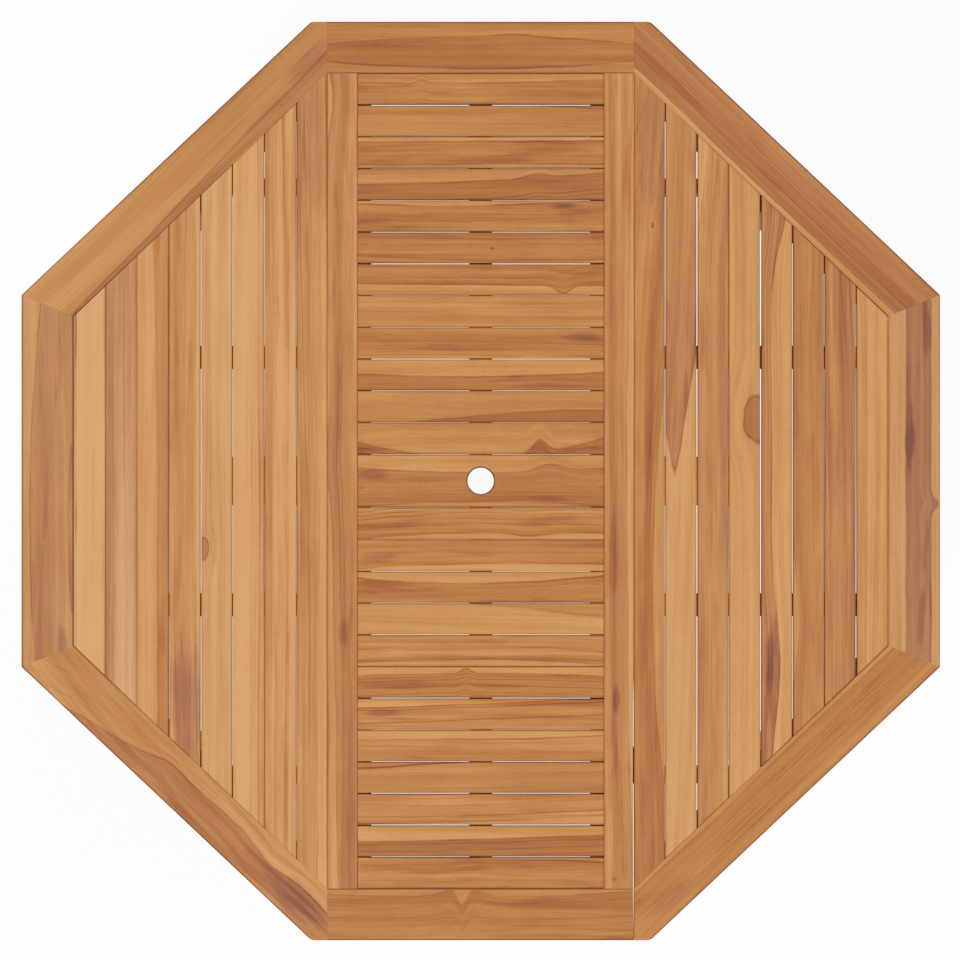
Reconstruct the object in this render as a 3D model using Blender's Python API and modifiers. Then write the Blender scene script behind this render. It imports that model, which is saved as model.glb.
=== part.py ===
"""Octagonal teak garden table: a slatted top in three panels on a four-legged base.

The origin is on the floor under the middle of the parasol hole, +Z is up, +X runs across
the three panels, and +Y runs along the seams between them. All sizes are in metres.
"""
import math

import bmesh
import bpy
from mathutils import Matrix, Vector

# Overall
TOP_ACROSS = 1.200            # across opposite edges of the octagon, both ways
TABLE_HEIGHT = 0.750
END_EDGE_PAST_CENTRE = 0.022  # straight edge of an end, on each side of the centre panel
SIDE_EDGE = 0.486             # straight edge at the two sides, the outer edge of a rim
FIT = 0.0003                  # clearance left where two pieces touch

# Frames of the three top panels
CENTRE_PANEL_WIDTH = 0.399
PANEL_SEAM = 0.001            # open joint between two panels
FRAME_THICKNESS = 0.025
END_RAIL_WIDTH = 0.0675
CENTRE_STILE_WIDTH = 0.0385
WING_STILE_WIDTH = 0.040
RIM_WIDTH = 0.068
DIAGONAL_WIDTH = 0.067        # at the mitre with the rim
CENTRE_LIP = 0.0175           # rebate lip under the slat ends, centre stiles
DIAGONAL_LIP = 0.0155         # the same lip, diagonal rails
FRAME_TENON_THICKNESS = 0.009
FRAME_TENON_SHOULDER = 0.006  # wood left at each edge of a stile beside its tenon
CENTRE_TENON_LENGTH = 0.030
WING_TENON_LENGTH = 0.022
TONGUE_WIDTH = 0.044          # of the rim's tongues, along the mitre
TONGUE_LENGTH = 0.014         # into the diagonal rail
TONGUE_THICKNESS = 0.007

# Slats and the battens under them
SLAT_THICKNESS = 0.012
SLAT_GAP = 0.0012
CENTRE_SLATS_PER_END = 12
WING_SLATS = 7
PARASOL_SLAT_WIDTH = 0.069
PARASOL_HOLE = 0.038          # diameter
BATTEN_WIDTH = 0.030
WING_BATTEN_OFFSET = 0.162    # from the middle of the table to a batten's middle
CENTRE_BATTEN_CLEARANCE = 0.005   # from the parasol hole to a centre batten's end
BATTEN_TENON_LENGTH = 0.010
BATTEN_TENON_WIDTH = 0.020
BATTEN_TENON_THICKNESS = 0.006

# Base
LEG_SIZE = 0.045
LEG_INSET = 0.213             # from an edge of the top to a leg's middle, X and Y
LEG_CHAMFER = 0.003           # round the foot
APRON_THICKNESS = 0.020
APRON_DEPTH = 0.070
LOWER_RAIL_THICKNESS = 0.020
LOWER_RAIL_DEPTH = 0.050
LOWER_RAIL_HEIGHT = 0.100     # from the floor to its lower edge
STRETCHER_WIDTH = 0.070
STRETCHER_THICKNESS = 0.020
STUB_TENON_LENGTH = 0.008     # end aprons and stretcher, which are bolted
GLUED_TENON_LENGTH = 0.015    # side aprons and lower rails
BASE_TENON_THICKNESS = 0.010
BASE_TENON_SHOULDER = 0.008   # wood left above and below, or beside, a tenon

# Connector bolts and barrel nuts
BOLT_DIAMETER = 0.006
BOLT_HEAD_DIAMETER = 0.015
BOLT_HEAD_THICKNESS = 0.0025
BOLT_SOCKET = 0.004           # hexagon socket, across its corners
BOLT_SOCKET_DEPTH = 0.0016
BOLT_RECESS = 0.0032          # depth of the counterbore for the head
BOLT_PAST_NUT = 0.004
NUT_DIAMETER = 0.010
NUT_LENGTH = 0.014
NUT_SETBACK = 0.028           # from the shoulder of a rail to the middle of its nut

# Angle brackets that hold the panels on the base, one under each end of each seam
BRACKET_LEG = 0.028
BRACKET_WIDTH = 0.064
BRACKET_SHEET = 0.0025
BRACKET_HOLE = 0.0045         # diameter
BRACKET_HOLE_HEIGHT = 0.017   # from the bracket's corner to the middle of a hole
BRACKET_HOLE_SPACING = 0.040

# Facets round a circle
HOLE_FACETS = 32
BOLT_FACETS = 16
NUT_FACETS = 16
KEY_FACETS = 6


def srgb(red, green, blue):
    """A colour from its 0 to 255 screen values, as linear light."""
    values = [channel / 255 for channel in (red, green, blue)]
    return tuple(v / 12.92 if v <= 0.04045 else ((v + 0.055) / 1.055) ** 2.4 for v in values)


# Finishes: colour, roughness, metallic
FRAME_TEAK = (srgb(184, 124, 76), 0.62, 0.0)
CENTRE_TEAK = (srgb(186, 127, 79), 0.62, 0.0)
WING_TEAK = (srgb(198, 143, 94), 0.62, 0.0)
BASE_TEAK = (srgb(176, 117, 71), 0.65, 0.0)
STEEL = (srgb(176, 178, 180), 0.32, 1.0)

# Levels
UNDERSIDE = TABLE_HEIGHT - FRAME_THICKNESS
SLAT_BOTTOM = TABLE_HEIGHT - SLAT_THICKNESS
LIP_TOP = SLAT_BOTTOM - FIT
BASE_TOP = UNDERSIDE - FIT
APRON_BOTTOM = BASE_TOP - APRON_DEPTH
FRAME_MIDDLE = UNDERSIDE + FRAME_THICKNESS / 2
BATTEN_MIDDLE = (UNDERSIDE + LIP_TOP) / 2
LOWER_RAIL_MIDDLE = LOWER_RAIL_HEIGHT + LOWER_RAIL_DEPTH / 2

# Plan of the top
HALF_TOP = TOP_ACROSS / 2
HALF_CENTRE = CENTRE_PANEL_WIDTH / 2
CENTRE_OPENING_X = HALF_CENTRE - CENTRE_STILE_WIDTH      # inner edge of a centre stile
OPENING_Y = HALF_TOP - END_RAIL_WIDTH                    # inner edge of an end rail
WING_START = HALF_CENTRE + PANEL_SEAM
WING_STILE_EDGE = WING_START + WING_STILE_WIDTH
RIM_EDGE = HALF_TOP - RIM_WIDTH

# Plan of the base
LEG_OFFSET = HALF_TOP - LEG_INSET                       # from the middle of the table
LEG_INNER = LEG_OFFSET - LEG_SIZE / 2
LOWER_RAIL_INNER = LEG_OFFSET - LOWER_RAIL_THICKNESS / 2
APRON_MIDDLE = (BASE_TOP + APRON_BOTTOM) / 2


def clear_scene():
    for existing in list(bpy.data.objects):
        bpy.data.objects.remove(existing, do_unlink=True)


clear_scene()
TABLE = bpy.data.collections.new("octagonal_garden_table")
CUTTERS = bpy.data.collections.new("cutters")
bpy.context.scene.collection.children.link(TABLE)
bpy.context.scene.collection.children.link(CUTTERS)


def dress(piece, finish):
    """Put the piece in the table's collection with a material of its own."""
    colour, roughness, metallic = finish
    material = bpy.data.materials.new(piece.name + "_finish")
    material.use_nodes = True
    shader = material.node_tree.nodes["Principled BSDF"]
    shader.inputs["Base Color"].default_value = (*colour, 1.0)
    shader.inputs["Roughness"].default_value = roughness
    shader.inputs["Metallic"].default_value = metallic
    material.diffuse_color = (*colour, 1.0)
    piece.data.materials.clear()
    piece.data.materials.append(material)
    TABLE.objects.link(piece)
    return piece


def as_cutter(piece):
    CUTTERS.objects.link(piece)
    piece.hide_render = True
    piece.display_type = "WIRE"
    return piece


def object_from(name, mesh_builder, location=(0.0, 0.0, 0.0)):
    """Turn a bmesh into an object whose faces point outwards."""
    bmesh.ops.recalc_face_normals(mesh_builder, faces=mesh_builder.faces)
    mesh = bpy.data.meshes.new(name)
    mesh_builder.to_mesh(mesh)
    mesh_builder.free()
    piece = bpy.data.objects.new(name, mesh)
    piece.location = location
    return piece


def box(name, low, high):
    """A box between its lowest and highest corners."""
    size = [top - bottom for bottom, top in zip(low, high)]
    middle = [(top + bottom) / 2 for bottom, top in zip(low, high)]
    builder = bmesh.new()
    bmesh.ops.create_cube(builder, size=1.0, matrix=Matrix.Diagonal((*size, 1.0)))
    return object_from(name, builder, middle)


def boxes(name, corners):
    """Several boxes in one object, each from its lowest and highest corners."""
    builder = bmesh.new()
    for low, high in corners:
        size = [top - bottom for bottom, top in zip(low, high)]
        middle = Vector([(top + bottom) / 2 for bottom, top in zip(low, high)])
        place = Matrix.Translation(middle) @ Matrix.Diagonal((*size, 1.0))
        bmesh.ops.create_cube(builder, size=1.0, matrix=place)
    return object_from(name, builder)


def grown(corners, clearance=FIT):
    """The same boxes, larger by the clearance all round."""
    return [([v - clearance for v in low], [v + clearance for v in high])
            for low, high in corners]


def outline_solid(name, outlines, bottom, thickness):
    """Flat outlines in plan, extruded upwards from the bottom level, as a mesh."""
    curve = bpy.data.curves.new(name, "CURVE")
    curve.dimensions = "2D"
    curve.fill_mode = "BOTH"
    curve.extrude = thickness / 2
    for points in outlines:
        spline = curve.splines.new("POLY")
        spline.points.add(len(points) - 1)
        for point, (x, y) in zip(spline.points, points):
            point.co = (x, y, 0.0, 1.0)
        spline.use_cyclic_u = True
    drawn = bpy.data.objects.new(name + "_outline", curve)
    drawn.location.z = bottom + thickness / 2
    TABLE.objects.link(drawn)
    bpy.context.view_layer.update()
    graph = bpy.context.evaluated_depsgraph_get()
    mesh = bpy.data.meshes.new_from_object(drawn.evaluated_get(graph))
    builder = bmesh.new()
    builder.from_mesh(mesh)
    bmesh.ops.remove_doubles(builder, verts=builder.verts, dist=1e-6)
    solid = object_from(name, builder)
    solid.matrix_world = drawn.matrix_world
    bpy.data.objects.remove(drawn, do_unlink=True)
    bpy.data.curves.remove(curve)
    bpy.data.meshes.remove(mesh)
    return solid


def turned_mesh(name, profile, facets):
    """A turned shape about Z, from its (radius, height) profile, top to bottom."""
    guide = bpy.data.meshes.new(name)
    points = [(radius, 0.0, height) for radius, height in profile]
    guide.from_pydata(points, [(i, i + 1) for i in range(len(points) - 1)], [])
    drawn = bpy.data.objects.new(name + "_profile", guide)
    TABLE.objects.link(drawn)
    screw = drawn.modifiers.new("Turn", "SCREW")
    screw.steps = facets
    screw.render_steps = facets
    screw.use_merge_vertices = True
    screw.merge_threshold = 0.00001
    bpy.context.view_layer.update()
    graph = bpy.context.evaluated_depsgraph_get()
    mesh = bpy.data.meshes.new_from_object(drawn.evaluated_get(graph))
    builder = bmesh.new()
    builder.from_mesh(mesh)
    bmesh.ops.remove_doubles(builder, verts=builder.verts, dist=1e-6)
    bmesh.ops.recalc_face_normals(builder, faces=builder.faces)
    builder.to_mesh(mesh)
    builder.free()
    bpy.data.objects.remove(drawn, do_unlink=True)
    return mesh


def placed(name, mesh, place):
    """An object with its own copy of the mesh, at the given place."""
    piece = bpy.data.objects.new(name, mesh.copy())
    piece.matrix_world = place
    return piece


def cut_mesh(mesh, cutter_mesh, places):
    """The mesh with a copy of the cutter's mesh cut away at each place."""
    body = bpy.data.objects.new("uncut", mesh)
    drills = [placed("drill", cutter_mesh, place) for place in places]
    for drawn in [body] + drills:
        CUTTERS.objects.link(drawn)
    for drill in drills:
        boolean(body, drill, "DIFFERENCE")
    bpy.context.view_layer.update()
    graph = bpy.context.evaluated_depsgraph_get()
    cut = bpy.data.meshes.new_from_object(body.evaluated_get(graph))
    for drawn in [body] + drills:
        bpy.data.objects.remove(drawn, do_unlink=True)
    return cut


def boolean(piece, other, operation):
    modifier = piece.modifiers.new(operation.title(), "BOOLEAN")
    modifier.operation = operation
    modifier.solver = "EXACT"
    modifier.object = other


def smooth(piece, angle=math.radians(40)):
    piece.data.shade_smooth()
    piece.data.set_sharp_from_angle(angle=angle)


# Wing outline, for the quarter with positive X and Y
RIM_CORNER = Vector((HALF_TOP, SIDE_EDGE / 2))
END_CORNER = Vector((HALF_CENTRE + END_EDGE_PAST_CENTRE, HALF_TOP))
DIAGONAL_RUN = (END_CORNER - RIM_CORNER).normalized()
DIAGONAL_INWARD = Vector((-DIAGONAL_RUN.y, DIAGONAL_RUN.x))
SEAM_CORNER = Vector((WING_START, OPENING_Y))            # lines up with the end rail
MITRE_INNER = Vector((RIM_EDGE, RIM_CORNER.y + (
    DIAGONAL_WIDTH + RIM_WIDTH * DIAGONAL_INWARD.x) / DIAGONAL_INWARD.y))
INNER_SLOPE = (MITRE_INNER.y - SEAM_CORNER.y) / (MITRE_INNER.x - SEAM_CORNER.x)
SLANT = math.hypot(1.0, INNER_SLOPE)                     # along Y for each unit square to it


def inner_edge(x, inset=0.0):
    """Y of the diagonal rail's inner edge at x, or of a line that far inside it."""
    return SEAM_CORNER.y + (x - SEAM_CORNER.x) * INNER_SLOPE - inset * SLANT


def in_quarter(side, end, points):
    """Points of the positive quarter, moved to the quarter of that side and end."""
    return [(side * x, end * y) for x, y in points]


def slant_ended(side, x_start, x_end):
    """Outline of a board along Y whose two ends follow the diagonal rails."""
    return [(side * x_start, -inner_edge(x_start, FIT)), (side * x_end, -inner_edge(x_end, FIT)),
            (side * x_end, inner_edge(x_end, FIT)), (side * x_start, inner_edge(x_start, FIT))]


SIDES = {"left": -1, "right": 1}
ENDS = {"front": -1, "back": 1}

WING_SLAT_WIDTH = (RIM_EDGE - FIT - WING_STILE_EDGE) / WING_SLATS - SLAT_GAP
WING_SLAT_STARTS = [WING_STILE_EDGE + SLAT_GAP + i * (WING_SLAT_WIDTH + SLAT_GAP)
                    for i in range(WING_SLATS)]
CENTRE_SLAT_WIDTH = ((OPENING_Y - FIT - PARASOL_SLAT_WIDTH / 2) / CENTRE_SLATS_PER_END
                     - SLAT_GAP)
CENTRE_SLAT_STARTS = [PARASOL_SLAT_WIDTH / 2 + SLAT_GAP + i * (CENTRE_SLAT_WIDTH + SLAT_GAP)
                      for i in range(CENTRE_SLATS_PER_END)]
CENTRE_BATTEN_START = PARASOL_HOLE / 2 + CENTRE_BATTEN_CLEARANCE


def bracket_mesh():
    """One angle bracket: an L outline, extruded, with two holes in each leg.

    It is drawn with its upright leg against the plane X = 0, on the side of negative X,
    its level leg under the plane Z = 0, and its length along Y.
    """
    sheet, leg = BRACKET_SHEET, BRACKET_LEG
    section = [(0.0, 0.0), (-leg, 0.0), (-leg, -sheet), (-sheet, -sheet), (-sheet, -leg),
               (0.0, -leg)]
    angle = outline_solid("bracket_section", [section], -BRACKET_WIDTH / 2, BRACKET_WIDTH)
    angle.data.transform(Matrix.Rotation(math.pi / 2, 4, "X"))
    radius = BRACKET_HOLE / 2
    drill = turned_mesh("bracket_drill", [(0, leg), (radius, leg), (radius, -leg), (0, -leg)],
                        NUT_FACETS)
    sideways = Matrix.Rotation(math.pi / 2, 4, "Y")
    places = []
    for y in (-BRACKET_HOLE_SPACING / 2, BRACKET_HOLE_SPACING / 2):
        places.append(Matrix.Translation((-BRACKET_HOLE_HEIGHT, y, 0.0)))
        places.append(Matrix.Translation((0.0, y, -BRACKET_HOLE_HEIGHT)) @ sideways)
    return cut_mesh(angle.data, drill, places)


def make_brackets():
    """Each bracket stands against an end apron and spans the seam of two panels."""
    mesh = bracket_mesh()
    seam = HALF_CENTRE + PANEL_SEAM / 2
    apron_face = LEG_OFFSET - APRON_THICKNESS / 2 - FIT
    for side_name, side in SIDES.items():
        for end_name, end in ENDS.items():
            place = (Matrix.Translation((side * seam, end * apron_face, BASE_TOP))
                     @ Matrix.Rotation(end * math.pi / 2, 4, "Z"))
            dress(placed(f"seam_bracket_{end_name}_{side_name}", mesh, place), STEEL)


def joint_place(outward, nut_axis, position):
    """A bolted joint's frame: X out through the bolt's head, Z along its barrel nut."""
    x_axis, z_axis = Vector(outward), Vector(nut_axis)
    turn = Matrix((x_axis, z_axis.cross(x_axis), z_axis)).transposed().to_4x4()
    return Matrix.Translation(position) @ turn


def bolted_joints():
    """Each bolted joint's name, the thickness bolted through, and its frame."""
    joints = []
    for side_name, side in SIDES.items():
        outward = (side, 0, 0)
        for end_name, end in ENDS.items():
            place = joint_place(outward, (0, -end, 0),
                                (side * LEG_OFFSET, end * LEG_OFFSET, APRON_MIDDLE))
            joints.append((f"apron_{end_name}_{side_name}", LEG_SIZE, APRON_THICKNESS, place))
        place = joint_place(outward, (0, 0, -1), (side * LEG_OFFSET, 0, LOWER_RAIL_MIDDLE))
        joints.append((f"stretcher_{side_name}", LOWER_RAIL_THICKNESS, STRETCHER_THICKNESS,
                       place))
    return joints


def turned_cylinder(name, radius, low, high, facets):
    return turned_mesh(name, [(0, high), (radius, high), (radius, low), (0, low)], facets)


def make_bolted_joint(name, thickness, nut_wood, place):
    """One bolt and its barrel nut; returns the cutter for the bore and the nut's well."""
    along = Matrix.Rotation(math.pi / 2, 4, "Y")
    seat = Matrix.Translation((thickness / 2 - BOLT_RECESS, 0, 0)) @ along
    nut_middle = Matrix.Translation((-thickness / 2 - NUT_SETBACK, 0, 0))
    length = thickness - BOLT_RECESS + NUT_SETBACK + NUT_DIAMETER / 2 + BOLT_PAST_NUT
    head, top = BOLT_HEAD_DIAMETER / 2, BOLT_HEAD_THICKNESS
    shank, clear = BOLT_DIAMETER / 2, BOLT_DIAMETER / 2 + FIT

    plain = turned_mesh("bolt", [(0, top), (head, top), (head, 0), (shank, 0),
                                 (shank, -length), (0, -length)], BOLT_FACETS)
    socket = turned_cylinder("socket", BOLT_SOCKET / 2, top - BOLT_SOCKET_DEPTH, 2 * top,
                             KEY_FACETS)
    bolt = placed("connector_bolt_" + name, cut_mesh(plain, socket, [Matrix.Identity(4)]),
                  place @ seat)
    smooth(dress(bolt, STEEL))

    half, radius = NUT_LENGTH / 2, NUT_DIAMETER / 2
    thread = turned_cylinder("thread", clear, -2 * radius, 2 * radius, BOLT_FACETS)
    barrel = cut_mesh(turned_cylinder("nut", radius, -half, half, NUT_FACETS), thread,
                      [along])
    smooth(dress(placed("barrel_nut_" + name, barrel, place @ nut_middle), STEEL))

    bore = turned_mesh("bore", [(0, 2 * BOLT_RECESS), (head + FIT, 2 * BOLT_RECESS),
                                (head + FIT, -FIT), (clear, -FIT), (clear, -length - FIT),
                                (0, -length - FIT)], BOLT_FACETS)
    well = turned_cylinder("well", radius + FIT, -half - FIT, nut_wood, NUT_FACETS)
    return (as_cutter(placed("bolt_bore_" + name, bore, place @ seat)),
            as_cutter(placed("nut_well_" + name, well, place @ nut_middle)))


def tenoned(piece, name, bars):
    """Join tenons to a piece and return the cutter for their mortises."""
    boolean(piece, as_cutter(boxes(name + "_tenons", bars)), "UNION")
    return as_cutter(boxes(name + "_mortises", grown(bars)))


def make_end_rails(mortises):
    for end_name, end in ENDS.items():
        low_y, high_y = sorted((end * OPENING_Y, end * HALF_TOP))
        rail = box("centre_end_rail_" + end_name, (-HALF_CENTRE, low_y, UNDERSIDE),
                   (HALF_CENTRE, high_y, TABLE_HEIGHT))
        dress(rail, FRAME_TEAK)
        for cutter in mortises:
            boolean(rail, cutter, "DIFFERENCE")


def make_centre_stiles():
    """Stiles with a rebate for the slat ends and a tenon at each end."""
    mortises = []
    reach = OPENING_Y + CENTRE_TENON_LENGTH
    for side_name, side in SIDES.items():
        name = "centre_stile_" + side_name
        low_x, high_x = sorted((side * (CENTRE_OPENING_X - CENTRE_LIP), side * HALF_CENTRE))
        stile = box(name, (low_x, -OPENING_Y + FIT, UNDERSIDE),
                    (high_x, OPENING_Y - FIT, TABLE_HEIGHT))
        dress(stile, FRAME_TEAK)
        low_x, high_x = sorted((side * CENTRE_OPENING_X, 0.0))
        rebate = box(name + "_rebate", (low_x, -HALF_TOP, LIP_TOP),
                     (high_x, HALF_TOP, 2 * TABLE_HEIGHT))
        boolean(stile, as_cutter(rebate), "DIFFERENCE")
        low_x, high_x = sorted((side * (CENTRE_OPENING_X + FRAME_TENON_SHOULDER),
                                side * (HALF_CENTRE - FRAME_TENON_SHOULDER)))
        bar = ((low_x, -reach, FRAME_MIDDLE - FRAME_TENON_THICKNESS / 2),
               (high_x, reach, FRAME_MIDDLE + FRAME_TENON_THICKNESS / 2))
        mortises.append(tenoned(stile, name, [bar]))
    return mortises


def make_centre_slats():
    """The narrow slats of each end, joined by the batten that they are screwed to."""
    half_length = CENTRE_OPENING_X - FIT
    mortises = []
    for end_name, end in ENDS.items():
        name = "centre_slats_" + end_name
        low_y, high_y = sorted((end * CENTRE_BATTEN_START, end * (OPENING_Y - FIT)))
        ladder = box(name, (-BATTEN_WIDTH / 2, low_y, UNDERSIDE),
                     (BATTEN_WIDTH / 2, high_y, LIP_TOP))
        dress(ladder, CENTRE_TEAK)
        low_y, high_y = sorted((end * (OPENING_Y - BATTEN_TENON_LENGTH),
                                end * (OPENING_Y + BATTEN_TENON_LENGTH)))
        bar = ((-BATTEN_TENON_WIDTH / 2, low_y, BATTEN_MIDDLE - BATTEN_TENON_THICKNESS / 2),
               (BATTEN_TENON_WIDTH / 2, high_y, BATTEN_MIDDLE + BATTEN_TENON_THICKNESS / 2))
        mortises.append(tenoned(ladder, name, [bar]))
        treads, seats = [], []
        for start in CENTRE_SLAT_STARTS:
            low_y, high_y = sorted((end * start, end * (start + CENTRE_SLAT_WIDTH)))
            treads.append(((-half_length, low_y, SLAT_BOTTOM),
                           (half_length, high_y, TABLE_HEIGHT)))
            seats.append(((-BATTEN_WIDTH / 2 + FIT, low_y + FIT, LIP_TOP - FIT),
                          (BATTEN_WIDTH / 2 - FIT, high_y - FIT, SLAT_BOTTOM + FIT)))
        boolean(ladder, as_cutter(boxes(name + "_seats", seats)), "UNION")
        boolean(ladder, as_cutter(boxes(name + "_treads", treads)), "UNION")
    return mortises


def make_parasol_slat():
    half_length, half_width = CENTRE_OPENING_X - FIT, PARASOL_SLAT_WIDTH / 2
    slat = box("centre_parasol_slat", (-half_length, -half_width, SLAT_BOTTOM),
               (half_length, half_width, TABLE_HEIGHT))
    boolean(dress(slat, CENTRE_TEAK), PARASOL_BORE, "DIFFERENCE")


def make_rims(batten_mortises):
    """Outer boards of the wings, mitred to the diagonal rails, with a tongue at each end.

    Returns the cutters for the tongues' slots.
    """
    back = FIT / (RIM_CORNER - MITRE_INNER).normalized().x
    outer_y, inner_y = RIM_CORNER.y - back, MITRE_INNER.y - back
    middle, run = (RIM_CORNER + MITRE_INNER) / 2, (RIM_CORNER - MITRE_INNER).normalized()
    square = Vector((-run.y, run.x))
    slots = {}
    for side_name, side in SIDES.items():
        outline = [(side * HALF_TOP, -outer_y), (side * HALF_TOP, outer_y),
                   (side * RIM_EDGE, inner_y), (side * RIM_EDGE, -inner_y)]
        rim = outline_solid("wing_rim_" + side_name, [outline], UNDERSIDE, FRAME_THICKNESS)
        dress(rim, FRAME_TEAK)
        shapes = []
        for name, extra in (("tongues", 0.0), ("slots", FIT)):
            half_width, reach = TONGUE_WIDTH / 2 + extra, TONGUE_LENGTH + extra
            tongue = [middle + run * along + square * across for along, across in
                      ((-half_width, -reach), (half_width, -reach), (half_width, reach),
                       (-half_width, reach))]
            outlines = [in_quarter(side, end, tongue) for end in ENDS.values()]
            shapes.append(as_cutter(outline_solid(
                f"rim_{name}_{side_name}", outlines,
                FRAME_MIDDLE - TONGUE_THICKNESS / 2 - extra, TONGUE_THICKNESS + 2 * extra)))
        boolean(rim, shapes[0], "UNION")
        boolean(rim, batten_mortises[side_name], "DIFFERENCE")
        slots[side_name] = shapes[1]
    return slots


def make_diagonal_rails(tongue_slots, stile_mortises):
    """Slanting rails, with a lip on the inside that carries the ends of the wing slats."""
    outline = [RIM_CORNER, END_CORNER, (WING_START, HALF_TOP), SEAM_CORNER, MITRE_INNER]
    start, stop = WING_STILE_EDGE + FIT, RIM_EDGE - FIT
    lip = [(start, inner_edge(start, DIAGONAL_LIP)), (stop, inner_edge(stop, DIAGONAL_LIP)),
           (stop, inner_edge(stop, -DIAGONAL_LIP)), (start, inner_edge(start, -DIAGONAL_LIP))]
    for side_name, side in SIDES.items():
        for end_name, end in ENDS.items():
            name = f"wing_diagonal_{end_name}_{side_name}"
            rail = outline_solid(name, [in_quarter(side, end, outline)], UNDERSIDE,
                                 FRAME_THICKNESS)
            dress(rail, FRAME_TEAK)
            ledge = outline_solid(name + "_lip", [in_quarter(side, end, lip)],
                                  UNDERSIDE + FIT, LIP_TOP - UNDERSIDE - FIT)
            boolean(rail, as_cutter(ledge), "UNION")
            boolean(rail, tongue_slots[side_name], "DIFFERENCE")
            boolean(rail, stile_mortises[side_name], "DIFFERENCE")


def make_wing_stiles(batten_mortises):
    """Stiles along the seams, tenoned into the diagonal rails at both ends."""
    mortises = {}
    low_x = WING_START + FRAME_TENON_SHOULDER
    high_x = WING_STILE_EDGE - FRAME_TENON_SHOULDER
    reach = inner_edge((low_x + high_x) / 2) + WING_TENON_LENGTH
    for side_name, side in SIDES.items():
        name = "wing_stile_" + side_name
        stile = outline_solid(name, [slant_ended(side, WING_START, WING_STILE_EDGE)],
                              UNDERSIDE, FRAME_THICKNESS)
        dress(stile, FRAME_TEAK)
        ends = sorted((side * low_x, side * high_x))
        bar = ((ends[0], -reach, FRAME_MIDDLE - FRAME_TENON_THICKNESS / 2),
               (ends[1], reach, FRAME_MIDDLE + FRAME_TENON_THICKNESS / 2))
        mortises[side_name] = tenoned(stile, name, [bar])
        boolean(stile, batten_mortises[side_name], "DIFFERENCE")
    return mortises


def make_wing_battens():
    """Battens across the slats, tenoned into the stile and the rim."""
    mortises = {}
    for side_name, side in SIDES.items():
        bars = []
        for end_name, end in ENDS.items():
            middle = end * WING_BATTEN_OFFSET
            low_x, high_x = sorted((side * (WING_STILE_EDGE + FIT), side * (RIM_EDGE - FIT)))
            name = f"wing_batten_{end_name}_{side_name}"
            batten = box(name, (low_x, middle - BATTEN_WIDTH / 2, UNDERSIDE),
                         (high_x, middle + BATTEN_WIDTH / 2, LIP_TOP))
            dress(batten, BASE_TEAK)
            low_x, high_x = sorted((side * (WING_STILE_EDGE - BATTEN_TENON_LENGTH),
                                    side * (RIM_EDGE + BATTEN_TENON_LENGTH)))
            bar = ((low_x, middle - BATTEN_TENON_WIDTH / 2,
                    BATTEN_MIDDLE - BATTEN_TENON_THICKNESS / 2),
                   (high_x, middle + BATTEN_TENON_WIDTH / 2,
                    BATTEN_MIDDLE + BATTEN_TENON_THICKNESS / 2))
            boolean(batten, as_cutter(boxes(name + "_tenons", [bar])), "UNION")
            bars.append(bar)
        mortises[side_name] = as_cutter(boxes("batten_mortises_" + side_name, grown(bars)))
    return mortises


def make_wing_slats():
    for side_name, side in SIDES.items():
        for number, start in enumerate(WING_SLAT_STARTS, 1):
            outline = slant_ended(side, start, start + WING_SLAT_WIDTH)
            slat = outline_solid(f"wing_slat_{side_name}_{number}", [outline], SLAT_BOTTOM,
                                 SLAT_THICKNESS)
            dress(slat, WING_TEAK)


def make_legs(cutters):
    for side_name, side in SIDES.items():
        for end_name, end in ENDS.items():
            x, y = side * LEG_OFFSET, end * LEG_OFFSET
            half = LEG_SIZE / 2
            leg = box(f"leg_{end_name}_{side_name}", (x - half, y - half, 0.0),
                      (x + half, y + half, BASE_TOP))
            chamfer_foot(leg)
            dress(leg, BASE_TEAK)
            for cutter in cutters:
                boolean(leg, cutter, "DIFFERENCE")


def chamfer_foot(leg):
    """Break the four edges round the underside of a leg."""
    builder = bmesh.new()
    builder.from_mesh(leg.data)
    lowest = min(vertex.co.z for vertex in builder.verts)
    edges = [edge for edge in builder.edges
             if all(vertex.co.z < lowest + FIT for vertex in edge.verts)]
    bmesh.ops.bevel(builder, geom=edges, offset=LEG_CHAMFER, segments=1, affect="EDGES")
    builder.to_mesh(leg.data)
    builder.free()


def make_rail(name, along_y, offset, depth_range, thickness, tenon_length, cutters):
    """A rail on edge between two legs, with a tenon at each end; returns its mortises."""
    low_z, high_z = depth_range

    def corners(reach, half_thickness, shoulder):
        low, high = [-reach, offset - half_thickness], [reach, offset + half_thickness]
        if along_y:
            low.reverse()
            high.reverse()
        return low + [low_z + shoulder], high + [high_z - shoulder]

    rail = dress(box(name, *corners(LEG_INNER - FIT, thickness / 2, 0.0)), BASE_TEAK)
    bar = corners(LEG_INNER + tenon_length, BASE_TENON_THICKNESS / 2, BASE_TENON_SHOULDER)
    mortises = tenoned(rail, name, [bar])
    for cutter in cutters:
        boolean(rail, cutter, "DIFFERENCE")
    return mortises


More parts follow.
